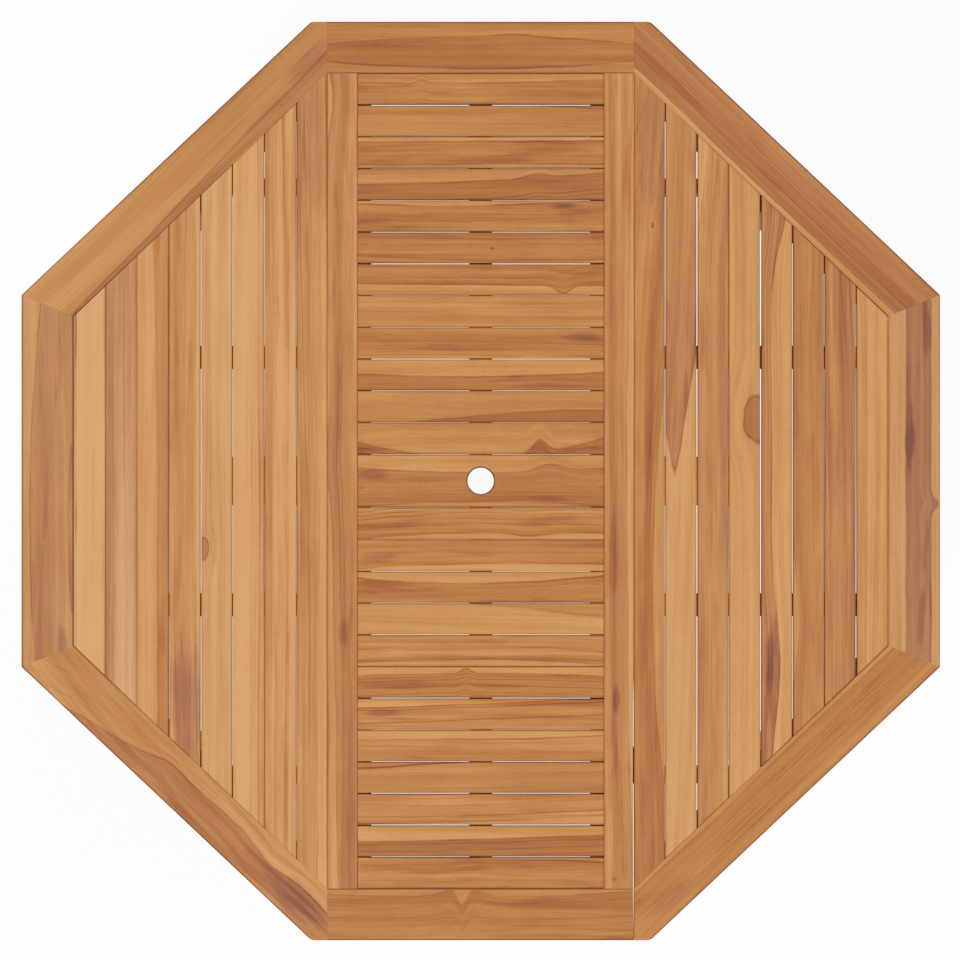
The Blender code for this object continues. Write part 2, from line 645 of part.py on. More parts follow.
def make_stretcher(cutters):
    """The flat board between the lower side rails, with the lower parasol hole."""
    half_width, half_thickness = STRETCHER_WIDTH / 2, STRETCHER_THICKNESS / 2
    reach = LOWER_RAIL_INNER - FIT
    board = box("parasol_stretcher", (-reach, -half_width, LOWER_RAIL_MIDDLE - half_thickness),
                (reach, half_width, LOWER_RAIL_MIDDLE + half_thickness))
    dress(board, BASE_TEAK)
    reach = LOWER_RAIL_INNER + STUB_TENON_LENGTH
    width = half_width - BASE_TENON_SHOULDER
    bar = ((-reach, -width, LOWER_RAIL_MIDDLE - BASE_TENON_THICKNESS / 2),
           (reach, width, LOWER_RAIL_MIDDLE + BASE_TENON_THICKNESS / 2))
    mortises = tenoned(board, "parasol_stretcher", [bar])
    for cutter in cutters + [PARASOL_BORE]:
        boolean(board, cutter, "DIFFERENCE")
    return mortises


def make_parasol_bore():
    drill = turned_cylinder("parasol_drill", PARASOL_HOLE / 2, -TABLE_HEIGHT,
                            2 * TABLE_HEIGHT, HOLE_FACETS)
    return as_cutter(placed("parasol_bore", drill, Matrix.Identity(4)))


def make_base():
    """Legs, aprons, lower rails and stretcher, with the bolts that hold them."""
    bores = {joint[0]: make_bolted_joint(*joint) for joint in bolted_joints()}
    apron_span = (APRON_BOTTOM, BASE_TOP)
    lower_span = (LOWER_RAIL_HEIGHT, LOWER_RAIL_HEIGHT + LOWER_RAIL_DEPTH)
    leg_cutters = []
    for end_name, end in ENDS.items():
        cutters = []
        for side_name in SIDES:
            cutters += bores[f"apron_{end_name}_{side_name}"]
        leg_cutters.append(make_rail("apron_" + end_name, False, end * LEG_OFFSET, apron_span,
                                     APRON_THICKNESS, STUB_TENON_LENGTH, cutters))
        leg_cutters += cutters
    stretcher_cutters = [*bores["stretcher_left"], *bores["stretcher_right"]]
    stretcher_mortises = make_stretcher(stretcher_cutters)
    for side_name, side in SIDES.items():
        leg_cutters.append(make_rail("apron_" + side_name, True, side * LEG_OFFSET, apron_span,
                                     APRON_THICKNESS, GLUED_TENON_LENGTH, []))
        leg_cutters.append(make_rail("lower_rail_" + side_name, True, side * LEG_OFFSET,
                                     lower_span, LOWER_RAIL_THICKNESS, GLUED_TENON_LENGTH,
                                     [stretcher_mortises, *bores["stretcher_" + side_name]]))
    make_legs(leg_cutters)


PARASOL_BORE = make_parasol_bore()


def make_table():
    make_end_rails(make_centre_stiles() + make_centre_slats())
    make_parasol_slat()

    batten_mortises = make_wing_battens()
    stile_mortises = make_wing_stiles(batten_mortises)
    make_diagonal_rails(make_rims(batten_mortises), stile_mortises)
    make_wing_slats()

    make_base()
    make_brackets()


make_table()
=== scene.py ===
import math

import bmesh
import bpy
from mathutils import Matrix, Vector


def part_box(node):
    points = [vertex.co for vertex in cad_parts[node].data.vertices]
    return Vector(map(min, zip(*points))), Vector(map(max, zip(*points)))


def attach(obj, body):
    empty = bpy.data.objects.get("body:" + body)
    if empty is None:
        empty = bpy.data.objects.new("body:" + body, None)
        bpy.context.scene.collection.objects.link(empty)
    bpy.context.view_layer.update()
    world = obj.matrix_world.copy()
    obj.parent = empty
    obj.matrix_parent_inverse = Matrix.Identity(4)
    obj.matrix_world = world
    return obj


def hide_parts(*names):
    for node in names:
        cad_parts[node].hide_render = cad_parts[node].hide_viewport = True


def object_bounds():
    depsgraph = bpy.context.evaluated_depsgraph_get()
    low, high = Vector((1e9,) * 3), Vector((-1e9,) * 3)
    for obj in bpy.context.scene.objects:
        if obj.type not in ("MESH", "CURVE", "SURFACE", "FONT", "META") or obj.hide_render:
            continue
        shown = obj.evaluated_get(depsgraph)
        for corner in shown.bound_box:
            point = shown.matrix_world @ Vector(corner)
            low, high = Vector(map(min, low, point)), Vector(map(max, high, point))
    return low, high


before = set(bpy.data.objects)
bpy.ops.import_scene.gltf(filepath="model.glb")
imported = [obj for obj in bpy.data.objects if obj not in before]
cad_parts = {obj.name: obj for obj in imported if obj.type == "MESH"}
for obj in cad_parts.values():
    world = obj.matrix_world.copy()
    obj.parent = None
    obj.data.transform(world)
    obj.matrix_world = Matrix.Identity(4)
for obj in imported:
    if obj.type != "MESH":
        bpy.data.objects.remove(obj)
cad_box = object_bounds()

scene = bpy.context.scene

# Legs
# Four square teak posts with eased edges and a chamfered foot. They stand on the floor, and
# each is mortised for two aprons and, near the floor, for one lower rail.
SMOOTH_TURN = 35.0      # degrees, edges under this are shaded smooth
SHARP_TURN = 20.0       # degrees, edges over this can be eased
LEG_EASE = 0.0025
NEAR = 0.0001           # places closer than this are the same


def srgb(red, green, blue):
    """A colour from its 0 to 255 screen values, as linear light."""
    values = [channel / 255 for channel in (red, green, blue)]
    linear = [v / 12.92 if v <= 0.04045 else ((v + 0.055) / 1.055) ** 2.4 for v in values]
    return (*linear, 1.0)


def new_material(name):
    """A material with its nodes, links and shader."""
    material = bpy.data.materials.new(name)
    material.use_nodes = True
    nodes = material.node_tree.nodes
    return material, nodes, material.node_tree.links, nodes["Principled BSDF"]


def add_bump(nodes, links, height, shader, strength, distance):
    bump = nodes.new("ShaderNodeBump")
    bump.inputs["Strength"].default_value = strength
    bump.inputs["Distance"].default_value = distance
    links.new(height, bump.inputs["Height"])
    links.new(bump.outputs["Normal"], shader.inputs["Normal"])


# Shades and strengths from 0 to 1, places and sizes in metres
PLAIN_BOARD = {
    "seed": 0.0, "half_width": 0.0, "tone": 0.6, "red": 0.0, "grey": 0.0, "contrast": 0.6,
    "wander": 0.008, "across": 0.2, "half": 0.0, "taper": 0.0, "bend": 0.0, "heart": 0.0,
    # the number after rings is the strength of the painted shade along a board's long edges
    "line": 0.0, "rings": 0.0045, "soiled": 1.0, "hill_side": 1.0,
    "hill": (0.0, 0.0, 1.0),            # place along the board, height, width
    "hill_2": (0.0, 0.0, 1.0),
    "knot": (9.0, 9.0, 0.001),          # place along and across the board, radius
    "stain": (9.0, 9.0, 0.001, 0.0),    # place along and across, half its width, depth
}
FAR_SIDE = 0.050        # half the heartwood that lies on one side of an edge


def inputs_of(figure):
    """A figure's numbers by name, those of a knot as knot x, knot y and knot z."""
    numbers = {}
    for name, value in figure.items():
        if isinstance(value, tuple):
            numbers.update((f"{name} {letter}", part) for letter, part in zip("xyzw", value))
        else:
            numbers[name] = value
    return numbers


def teak_grain():
    """The node group that draws teak on a board lying along X, its face in the XY plane.

    Lines of the grain follow a field, in metres, that is zero on the edge of the heartwood.
    The heartwood is a band about the line across, wider or narrower along the board by taper
    and bend, with two hills on the edge at its hill_side, and a board can have one knot and
    one dark stain.
    """
    tree = bpy.data.node_groups.new("teak_grain", "ShaderNodeTree")
    nodes, links = tree.nodes, tree.links
    tree.interface.new_socket("Place", in_out="INPUT", socket_type="NodeSocketVector")
    for name in inputs_of(PLAIN_BOARD):
        tree.interface.new_socket(name, in_out="INPUT", socket_type="NodeSocketFloat")
    for name, kind in (("Colour", "Color"), ("Roughness", "Float"), ("Height", "Float")):
        tree.interface.new_socket(name, in_out="OUTPUT", socket_type="NodeSocket" + kind)
    given = nodes.new("NodeGroupInput").outputs
    result = nodes.new("NodeGroupOutput").inputs

    def put(socket, value):
        if isinstance(value, bpy.types.NodeSocket):
            links.new(value, socket)
        else:
            socket.default_value = value

    def add(kind, *values):
        node = nodes.new("ShaderNode" + kind)
        for socket, value in zip(node.inputs, values):
            put(socket, value)
        return node

    def calc(operation, *values):
        node = add("Math", *values)
        node.operation = operation
        return node.outputs[0]

    def total(*values):
        sum_so_far = values[0]
        for value in values[1:]:
            sum_so_far = calc("ADD", sum_so_far, value)
        return sum_so_far

    def times(a, b):
        return calc("MULTIPLY", a, b)

    def vector(x, y, z):
        return add("CombineXYZ", x, y, z).outputs[0]

    def noise(place, detail, rough=0.5):
        """Noise about zero, from -0.5 to 0.5."""
        node = add("TexNoise", place)
        put(node.inputs["Scale"], 1.0)
        put(node.inputs["Detail"], detail)
        put(node.inputs["Roughness"], rough)
        return calc("SUBTRACT", node.outputs[0], 0.5)

    def step_between(value, start, end, low=0.0, high=1.0):
        """Smooth step: low up to start, high from end."""
        node = add("MapRange", value, start, end, low, high)
        node.interpolation_type = "SMOOTHSTEP"
        return node.outputs[0]

    def hill(name):
        """A rounded hill along the board on the edge of the heartwood."""
        away = calc("DIVIDE", calc("SUBTRACT", x, given[name + " x"]), given[name + " z"])
        return times(given[name + " y"], calc("EXPONENT", times(times(away, away), -1.0)))

    x, y, z = add("SeparateXYZ", given["Place"]).outputs
    seed = given["seed"]
    far_x, far_y = total(x, times(seed, 3.7)), total(y, times(seed, 1.9))
    far_z = total(z, times(seed, 0.7))

    def stretched(along, across, detail, rough=0.5):
        place = vector(times(far_x, along), times(far_y, across), times(far_z, across))
        return noise(place, detail, rough)

    # The grain swings round a knot
    knot_x = times(calc("SUBTRACT", x, given["knot x"]), 0.55)
    knot_y = calc("SUBTRACT", y, given["knot y"])
    knot_far = calc("SQRT", total(times(knot_x, knot_x), times(knot_y, knot_y), 1e-8))
    knot_span = calc("DIVIDE", knot_far, calc("MAXIMUM", given["knot z"], 1e-5))
    swing = times(times(knot_y, -0.9), step_between(knot_span, 0.6, 3.4, 1.0, 0.0))

    sway = times(stretched(2.4, 7.0, 1.0), given["wander"])
    ripple = times(stretched(16.0, 40.0, 3.0, 0.65), times(given["wander"], 0.45))
    line = total(y, times(z, 0.6), sway, ripple, swing)
    offset = calc("SUBTRACT", line, given["across"])
    distance = total(calc("SQRT", total(times(offset, offset), 9e-6)), -0.003)
    bend = times(times(x, x), given["bend"])
    reach = total(given["half"], times(x, given["taper"]), bend)
    hills = times(total(hill("hill"), hill("hill_2")),
                  step_between(times(offset, given["hill_side"]), -0.004, 0.004))
    plain = calc("SUBTRACT", reach, distance)
    field = total(plain, hills)

    # Streaks that fade in and out along the board, and growth rings of uneven strength. Both
    # follow the hills less than the edge of the heartwood does.
    flow = total(times(plain, 0.25),
                 times(total(offset, times(times(hills, given["hill_side"]), -0.6)), 0.75))
    streak = noise(vector(times(flow, 115.0), times(far_x, 1.3), seed), 4.0, 0.62)
    broad = noise(vector(times(flow, 34.0), times(far_x, 0.9), total(seed, 4.5)), 1.0)
    ring = total(calc("DIVIDE", total(plain, times(hills, 0.6)), given["rings"]),
                 times(broad, 3.0))
    number, within = calc("FLOOR", ring), calc("FRACT", ring)
    chance = nodes.new("ShaderNodeTexWhiteNoise")
    chance.noise_dimensions = "1D"
    put(chance.inputs["W"], total(number, times(seed, 13.0)))
    strong = step_between(chance.outputs[0], 0.45, 1.0)
    late = times(step_between(within, 0.0, 0.55, 1.0, 0.0), step_between(within, 0.0, 0.03))
    ring_fade = step_between(stretched(3.0, 20.0, 1.0), -0.2, 0.15)
    rings = times(times(late, strong), ring_fade)
    rings = times(rings, step_between(field, -0.004, 0.001, 0.6, 1.0))

    # Heartwood, with the thin dark line that edges it
    heart = times(step_between(field, -0.0006, 0.0008), step_between(field, 0.0, 0.06, 1.0, 0.55))
    rim = step_between(calc("ABSOLUTE", field), 0.0003, 0.0018, 1.0, 0.0)
    rim = times(rim, step_between(stretched(9.0, 40.0, 1.0), -0.15, 0.1, 0.25, 1.0))

    # Hairlines and fibres, open pores, slow drift of tone, dark patches of the heartwood, and
    # painted shade along the long edges of the board, where the gaps between boards are dark
    hair = stretched(7.0, 330.0, 3.0, 0.65)
    fibre = stretched(26.0, 820.0, 2.0, 0.6)
    patch = times(step_between(stretched(8.0, 62.0, 2.0), 0.04, 0.22), heart)
    pore = step_between(stretched(75.0, 2300.0, 0.0), 0.13, 0.24)
    drift = stretched(1.6, 9.0, 2.0)
    mottle = stretched(13.0, 48.0, 2.0)
    # Painted shade: darker within 2.6 mm of the board's long edges, fully so from 0.6 mm in
    from_side = calc("SUBTRACT", calc("ABSOLUTE", y), given["half_width"])
    soiled = step_between(from_side, -0.0026, -0.0006)
    knot_edge = total(knot_span, times(stretched(30.0, 60.0, 1.0), 0.7))
    knot = step_between(knot_edge, 0.9, 1.12, 1.0, 0.0)
    knot_rim = step_between(calc("ABSOLUTE", total(knot_edge, -0.92)), 0.02, 0.16, 1.0, 0.0)
    stain_x = times(calc("SUBTRACT", x, given["stain x"]), 0.3)
    stain_y = calc("SUBTRACT", y, given["stain y"])
    stain_far = calc("SQRT", total(times(stain_x, stain_x), times(stain_y, stain_y)))
    stain_span = total(calc("DIVIDE", stain_far, given["stain z"]),
                       times(stretched(14.0, 150.0, 2.0), 1.4))
    stain = times(step_between(stain_span, 0.35, 1.15, 1.0, 0.0), given["stain w"])

    contrast = given["contrast"]
    tone = total(
        given["tone"],
        times(times(streak, 1.25), contrast),
        times(times(broad, 0.70), contrast),
        times(times(rings, -0.42), contrast),
        times(times(heart, -0.30), given["heart"]),
        times(times(rim, -0.40), given["line"]),
        times(times(patch, -0.20), given["heart"]),
        times(times(hair, 0.50), contrast),
        times(fibre, 0.10),
        times(pore, -0.08),
        times(drift, 0.30),
        times(times(mottle, 0.30), contrast),
        # painted shade along the long edges, at the board's own strength
        times(times(soiled, -0.45), given["soiled"]),
        times(knot, -0.30),
        times(knot_rim, -0.16),
        times(stain, -0.36),
    )

    shades = add("ValToRGB", tone)
    shades.color_ramp.interpolation = "B_SPLINE"
    stops = ((0.0, srgb(126, 64, 28)), (0.2, srgb(157, 94, 50)), (0.4, srgb(175, 112, 61)),
             (0.55, srgb(189, 128, 68)), (0.75, srgb(205, 146, 84)), (1.0, srgb(221, 168, 108)))
    ramp = shades.color_ramp
    ramp.elements[0].position, ramp.elements[0].color = stops[0]
    ramp.elements[1].position, ramp.elements[1].color = stops[-1]
    for position, colour in stops[1:-1]:
        ramp.elements.new(position).color = colour

    redden = nodes.new("ShaderNodeMix")
    redden.data_type = "RGBA"
    redden.blend_type = "MULTIPLY"
    flush = times(step_between(stretched(4.0, 55.0, 1.0), -0.05, 0.25), 0.6)
    put(redden.inputs["Factor"], total(given["red"], times(times(heart, 0.3), given["heart"]),
                                       times(times(patch, 0.8), given["heart"]),
                                       times(stain, 0.8), times(flush, contrast)))
    put(redden.inputs[6], shades.outputs[0])
    put(redden.inputs[7], srgb(252, 238, 240))
    weathered = nodes.new("ShaderNodeHueSaturation")
    paler = total(given["grey"], times(times(given["grey"], heart), 0.7), times(stain, 0.08))
    put(weathered.inputs["Saturation"], calc("SUBTRACT", 1.0, paler))
    put(weathered.inputs["Color"], redden.outputs[2])
    put(result["Colour"], weathered.outputs[0])
    put(result["Roughness"], total(0.56, times(fibre, 0.22), times(pore, 0.12),
                                   times(drift, 0.10)))
    put(result["Height"], total(times(fibre, 0.5), times(pore, -0.8), times(rings, 0.25)))
    return tree


TEAK_GRAIN = teak_grain()


def teak(name, centre, along, width, seed, face=(0, 0, 1), low=None, high=None, span=1.0,
         **figure):
    """A board's own teak: along and face are the axes of its length and of its broad side.

    The figure is what sets it apart from a plain board. Low or high puts the heartwood on that
    side of an edge, which crosses the board at three heights, in mm: at the start, middle and
    end of the span.
    """
    if low or high:
        start, middle, end = [height / 1000 for height in low or high]
        side = 1 if low else -1
        figure.update(hill_side=side, half=FAR_SIDE, across=middle - side * FAR_SIDE,
                      taper=side * (end - start) / span,
                      bend=side * ((start + end) / 2 - middle) / (span / 2) ** 2)
    material, nodes, links, shader = new_material(name)
    shader.inputs["Specular IOR Level"].default_value = 0.25
    length_axis, face_axis = Vector(along).normalized(), Vector(face).normalized()
    turn = Matrix((length_axis, face_axis.cross(length_axis), face_axis))
    place = nodes.new("ShaderNodeMapping")
    place.inputs["Rotation"].default_value = turn.to_euler()
    place.inputs["Location"].default_value = -(turn @ Vector(centre))
    links.new(nodes.new("ShaderNodeTexCoord").outputs["Object"], place.inputs["Vector"])
    grain = nodes.new("ShaderNodeGroup")
    grain.node_tree = TEAK_GRAIN
    links.new(place.outputs[0], grain.inputs["Place"])
    board = {**PLAIN_BOARD, **figure, "seed": seed, "half_width": width / 2}
    for socket, value in inputs_of(board).items():
        grain.inputs[socket].default_value = value
    links.new(grain.outputs["Colour"], shader.inputs["Base Color"])
    links.new(grain.outputs["Roughness"], shader.inputs["Roughness"])
    add_bump(nodes, links, grain.outputs["Height"], shader, 0.35, 0.0003)
    return material


def select_only(piece):
    bpy.ops.object.select_all(action="DESELECT")
    piece.select_set(True)
    bpy.context.view_layer.objects.active = piece


def copy_of(node, name):
    """A clean copy of a CAD node's mesh, with its loose triangles merged into faces."""
    piece = bpy.data.objects.new(name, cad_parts[node].data.copy())
    scene.collection.objects.link(piece)
    select_only(piece)
    bpy.ops.mesh.customdata_custom_splitnormals_clear()
    bpy.ops.object.mode_set(mode="EDIT")
    bpy.ops.mesh.select_all(action="SELECT")
    bpy.ops.mesh.remove_doubles(threshold=0.00002)
    bpy.ops.mesh.dissolve_limited(angle_limit=math.radians(0.5))
    bpy.ops.mesh.select_all(action="DESELECT")
    bpy.ops.object.mode_set(mode="OBJECT")
    return piece


def ease(piece, chosen, width, segments=3):
    """Round over the sharp outer edges for which chosen(start, end) is true."""
    select_only(piece)
    bpy.ops.object.mode_set(mode="EDIT")
    bpy.ops.mesh.select_mode(type="EDGE")
    bpy.ops.mesh.select_all(action="DESELECT")
    shape = bmesh.from_edit_mesh(piece.data)
    for edge in shape.edges:
        sharp = edge.is_convex and edge.calc_face_angle(0.0) > math.radians(SHARP_TURN)
        edge.select = sharp and chosen(edge.verts[0].co, edge.verts[1].co)
    bmesh.update_edit_mesh(piece.data)
    bpy.ops.mesh.bevel(offset=width, segments=segments, affect="EDGES", clamp_overlap=True)
    bpy.ops.object.mode_set(mode="OBJECT")


def in_faces(piece):
    """A test of whether an edge lies in the board's top or bottom face."""
    heights = [vertex.co.z for vertex in piece.data.vertices]
    levels = min(heights), max(heights)
    return lambda a, b: any(abs(a.z - z) < NEAR and abs(b.z - z) < NEAR for z in levels)


def ease_faces(piece, width):
    """Round over the edges of a board that lie in its top and bottom faces."""
    ease(piece, in_faces(piece), width)


def finish(piece, material, slot, *nodes):
    """Shade the piece, and put it in place of the CAD nodes that it stands for."""
    select_only(piece)
    bpy.ops.object.shade_smooth_by_angle(angle=math.radians(SMOOTH_TURN))
    flat = piece.modifiers.new("Flat faces", "WEIGHTED_NORMAL")
    flat.keep_sharp = True
    bpy.ops.object.modifier_apply(modifier=flat.name)
    piece.data.materials.clear()
    piece.data.materials.append(material)
    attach(piece, "root")
    if nodes:
        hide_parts(*nodes)


def nodes_of(prefix):
    """The CAD nodes whose names start so."""
    return [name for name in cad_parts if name.startswith(prefix)]


def middle_of(node):
    low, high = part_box(node)
    return (low + high) / 2


def top_face(piece):
    """The lowest and the highest corner of a flat board's top face."""
    high = max(vertex.co.z for vertex in piece.data.vertices)
    corners = [vertex.co for vertex in piece.data.vertices if vertex.co.z > high - NEAR]
    return [Vector([pick(corner[axis] for corner in corners) for axis in range(3)])
            for pick in (min, max)]


def face_of(piece):
    """The middle of a flat board's top face."""
    low, high = top_face(piece)
    return (low + high) / 2


for number, corner in enumerate(("front_left", "front_right", "back_left", "back_right")):
    node = "leg_" + corner
    low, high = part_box(node)
    leg = copy_of(node, "teak_" + node)
    ease(leg, lambda a, b: (a - b).length > 0.5 * (high.z - low.z), LEG_EASE)
    wood = teak("teak_" + node, middle_of(node), (0, 0, 1), high.x - low.x, 40.3 + number,
                face=(0, 1, 0), tone=0.50, across=0.01 - 0.008 * number,
                half=0.004, taper=0.02, heart=0.6, line=0.5)
    finish(leg, wood, "base_teak", node)

# Aprons
# Boards on edge under the top, tenoned into the legs: the end ones are bolted, the side ones
# glued. Teak, with the long edges eased.
RAIL_EASE = 0.002
APRON_WIDTH = 0.070

for number, end in enumerate(("front", "back", "left", "right")):
    along, face = ((1, 0, 0), (0, 1, 0)) if number < 2 else ((0, 1, 0), (1, 0, 0))
    node = "apron_" + end
    apron = copy_of(node, "teak_" + node)
    ease_faces(apron, RAIL_EASE)
    wood = teak("teak_" + node, middle_of(node), along, APRON_WIDTH, 51.9 + number,
                face=face, tone=0.55, across=0.012 * number - 0.018, half=0.012, taper=0.02,
                heart=0.6, line=0.6)
    finish(apron, wood, "base_teak", node)

# Lower rails
# One between the legs of each side near the floor, tenoned and glued, to carry the ends of the
# stretcher. Teak.
RAIL_WIDTH = 0.050

for number, side in enumerate(("left", "right")):
    node = "lower_rail_" + side
    rail = copy_of(node, "teak_" + node)
    ease_faces(rail, RAIL_EASE)
    wood = teak("teak_" + node, middle_of(node), (0, 1, 0), RAIL_WIDTH, 61.2 + number,
                face=(1, 0, 0), tone=0.56, across=-0.01, half=0.008, bend=0.2, heart=0.5,
                line=0.5)
    finish(rail, wood, "base_teak", node)

# Stretcher
# The flat board between the lower rails. Its hole holds the parasol's pole upright under the
# hole in the top.
STRETCHER_WIDTH = 0.070

stretcher = copy_of("parasol_stretcher", "teak_stretcher")
ease_faces(stretcher, RAIL_EASE)
wood = teak("teak_stretcher", face_of(stretcher), (1, 0, 0), STRETCHER_WIDTH, 66.6,
            tone=0.62, across=0.02, half=0.01, heart=0.5, line=0.5)
finish(stretcher, wood, "base_teak", "parasol_stretcher")


# Bolts and barrel nuts
# Zinc plated steel: a flat-headed socket bolt goes through a leg or a lower rail, and pulls
# on a barrel nut that lies in a hole across the rail.
BOLT_HEAD = 0.0025           # thickness
BOLT_SHANK = 0.006           # diameter
BOLT_SOCKET = 0.004          # hexagon socket, across its corners
BOLT_SOCKET_DEPTH = 0.0016
BOLT_RIM = 0.0007            # rounding of the head's rim
THREAD_ROOM = 0.0003         # between the shank and the nut's hole
NUT_RIM = 0.0006
NUT_SLOT = 0.0014            # width and depth of the screwdriver slot
ROUND = 48                   # vertices round a bolt's head or a nut


def plated_steel(name, colour, roughness):
    """Steel with the soft cloudy shine of zinc and fine scratches."""
    material, nodes, links, shader = new_material(name)
    shader.inputs["Metallic"].default_value = 1.0
    place = nodes.new("ShaderNodeTexCoord")
    cloud = nodes.new("ShaderNodeTexNoise")
    cloud.inputs["Scale"].default_value = 260.0
    cloud.inputs["Detail"].default_value = 4.0
    links.new(place.outputs["Object"], cloud.inputs["Vector"])
    stretch = nodes.new("ShaderNodeMapping")
    stretch.inputs["Scale"].default_value = (400.0, 5200.0, 5200.0)
    links.new(place.outputs["Object"], stretch.inputs["Vector"])
    scratch = nodes.new("ShaderNodeTexNoise")
    scratch.inputs["Scale"].default_value = 1.0
    links.new(stretch.outputs[0], scratch.inputs["Vector"])
    tint = nodes.new("ShaderNodeValToRGB")
    tint.color_ramp.elements[0].color = tuple(0.72 * c for c in colour[:3]) + (1.0,)
    tint.color_ramp.elements[0].position = 0.3
    tint.color_ramp.elements[1].color = colour
    tint.color_ramp.elements[1].position = 0.62
    links.new(cloud.outputs[0], tint.inputs[0])
    links.new(tint.outputs[0], shader.inputs["Base Color"])
    gloss = nodes.new("ShaderNodeMapRange")
    gloss.inputs["To Min"].default_value = roughness - 0.08
    gloss.inputs["To Max"].default_value = roughness + 0.14
    links.new(cloud.outputs[0], gloss.inputs["Value"])
    links.new(gloss.outputs[0], shader.inputs["Roughness"])
    add_bump(nodes, links, scratch.outputs[0], shader, 0.2, 0.00005)
    return material


def add_round(name, radius, start, end, vertices=ROUND):
    """A cylinder whose axis runs from start to end."""
    bpy.ops.object.select_all(action="DESELECT")
    run = end - start
    bpy.ops.mesh.primitive_cylinder_add(
        vertices=vertices, radius=radius, depth=run.length, location=(start + end) / 2,
        rotation=run.to_track_quat("Z", "Y").to_euler())
    piece = bpy.context.object
    piece.name = piece.data.name = name
    bpy.ops.object.transform_apply()
    return piece


def add_block(name, low, high):
    """A rectangular block between its lowest and highest corners."""
    bpy.ops.object.select_all(action="DESELECT")
    bpy.ops.mesh.primitive_cube_add(size=1, location=(low + high) / 2, scale=high - low)
    block = bpy.context.object
    block.name = block.data.name = name
    bpy.ops.object.transform_apply()
    return block


def join_solid(piece, other, operation):
    """Join the other solid to the piece, or cut it away, and remove the other."""
    select_only(piece)
    change = piece.modifiers.new(operation, "BOOLEAN")
    change.operation = operation
    change.object = other
    bpy.ops.object.modifier_apply(modifier=change.name)
    bpy.data.objects.remove(other)


FITTINGS_STEEL = plated_steel("zinc_plated_fittings", srgb(176, 178, 180), 0.34)
for node in nodes_of("connector_bolt"):
    low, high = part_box(node)
    middle, out = (low + high) / 2, Vector((1 if low.x > 0 else -1, 0, 0))
    half = out * (high.x - low.x) / 2
    inner, outer = middle - half, middle + half
    bolt = add_round("steel_" + node, (high.y - low.y) / 2, outer - out * BOLT_HEAD, outer)
    ease(bolt, lambda a, b: abs(a.x - outer.x) < 1e-5 and abs(b.x - outer.x) < 1e-5, BOLT_RIM)
    shank = add_round("shank", BOLT_SHANK / 2, inner, outer - out * BOLT_HEAD / 2)
    join_solid(bolt, shank, "UNION")
    socket = add_round("socket", BOLT_SOCKET / 2, outer - out * BOLT_SOCKET_DEPTH,
                       outer + out * BOLT_HEAD, vertices=6)
    join_solid(bolt, socket, "DIFFERENCE")
    finish(bolt, FITTINGS_STEEL, "fittings_steel", node)
for node in nodes_of("barrel_nut"):
    low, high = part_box(node)
    middle, size = (low + high) / 2, high - low
    axis = Vector([1.0 if extent == max(size) else 0.0 for extent in size])
    half = axis * max(size) / 2
    nut = add_round("steel_" + node, min(size) / 2, middle - half, middle + half)
    ease(nut, lambda a, b: True, NUT_RIM)
    reach = Vector((min(size), 0, 0))
    thread = add_round("thread", BOLT_SHANK / 2 + THREAD_ROOM, middle - reach, middle + reach)
    join_solid(nut, thread, "DIFFERENCE")
    reach += Vector((0, 1 + axis.y, 1 + axis.z)) * NUT_SLOT / 2
    for end in (middle - half, middle + half):
        join_solid(nut, add_block("slot", end - reach, end + reach), "DIFFERENCE")
    finish(nut, FITTINGS_STEEL, "fittings_steel", node)

# Seam brackets
# Bent steel angles with pan-headed screws, four to each: into the end apron, and up into both
# panels at each end of each seam.
BRACKET_EASE = 0.0005
BRACKET_SHEET = 0.0025
HOLE_FACET = 0.002             # longer than the flats round a bracket's holes
BRACKET_HOLE_OUT = 0.017       # from a bracket's corner to its holes
BRACKET_HOLE_SPACING = 0.040
PAN_HEAD = 0.0082              # diameter
PAN_HEIGHT = 0.0024
PAN_RIM = 0.0011
CROSS_ARM = 0.0042             # length of the cross recess, and its width
CROSS_WIDTH = 0.0009


def screw_head(name, radius, height, rounding, vertices):
    """The mesh of a screw's head that faces down from Z = 0, with a cross recess."""
    tip = Vector((0, 0, -height))
    head = add_round(name, radius, Vector(), tip, vertices)
    ease(head, lambda a, b: max(a.z, b.z) < -0.5 * height, rounding, 2)
    for length, width in ((CROSS_ARM, CROSS_WIDTH), (CROSS_WIDTH, CROSS_ARM)):
        reach = Vector((length / 2, width / 2, 0.6 * height))
        cross = add_block("cross", tip - reach, tip + reach)
        join_solid(head, cross, "DIFFERENCE")
    mesh = head.data
    bpy.data.objects.remove(head)
    return mesh


def set_screws(name, head, places):
    """One piece that holds a copy of the head at every place, a matrix each."""
    heads = []
    for place in places:
        copy = bpy.data.objects.new(name, head.copy())
        scene.collection.objects.link(copy)
        copy.data.transform(place)
        heads.append(copy)
    select_only(heads[0])
    for copy in heads[1:]:
        copy.select_set(True)
    bpy.ops.object.join()
    finish(heads[0], FITTINGS_STEEL, "fittings_steel")


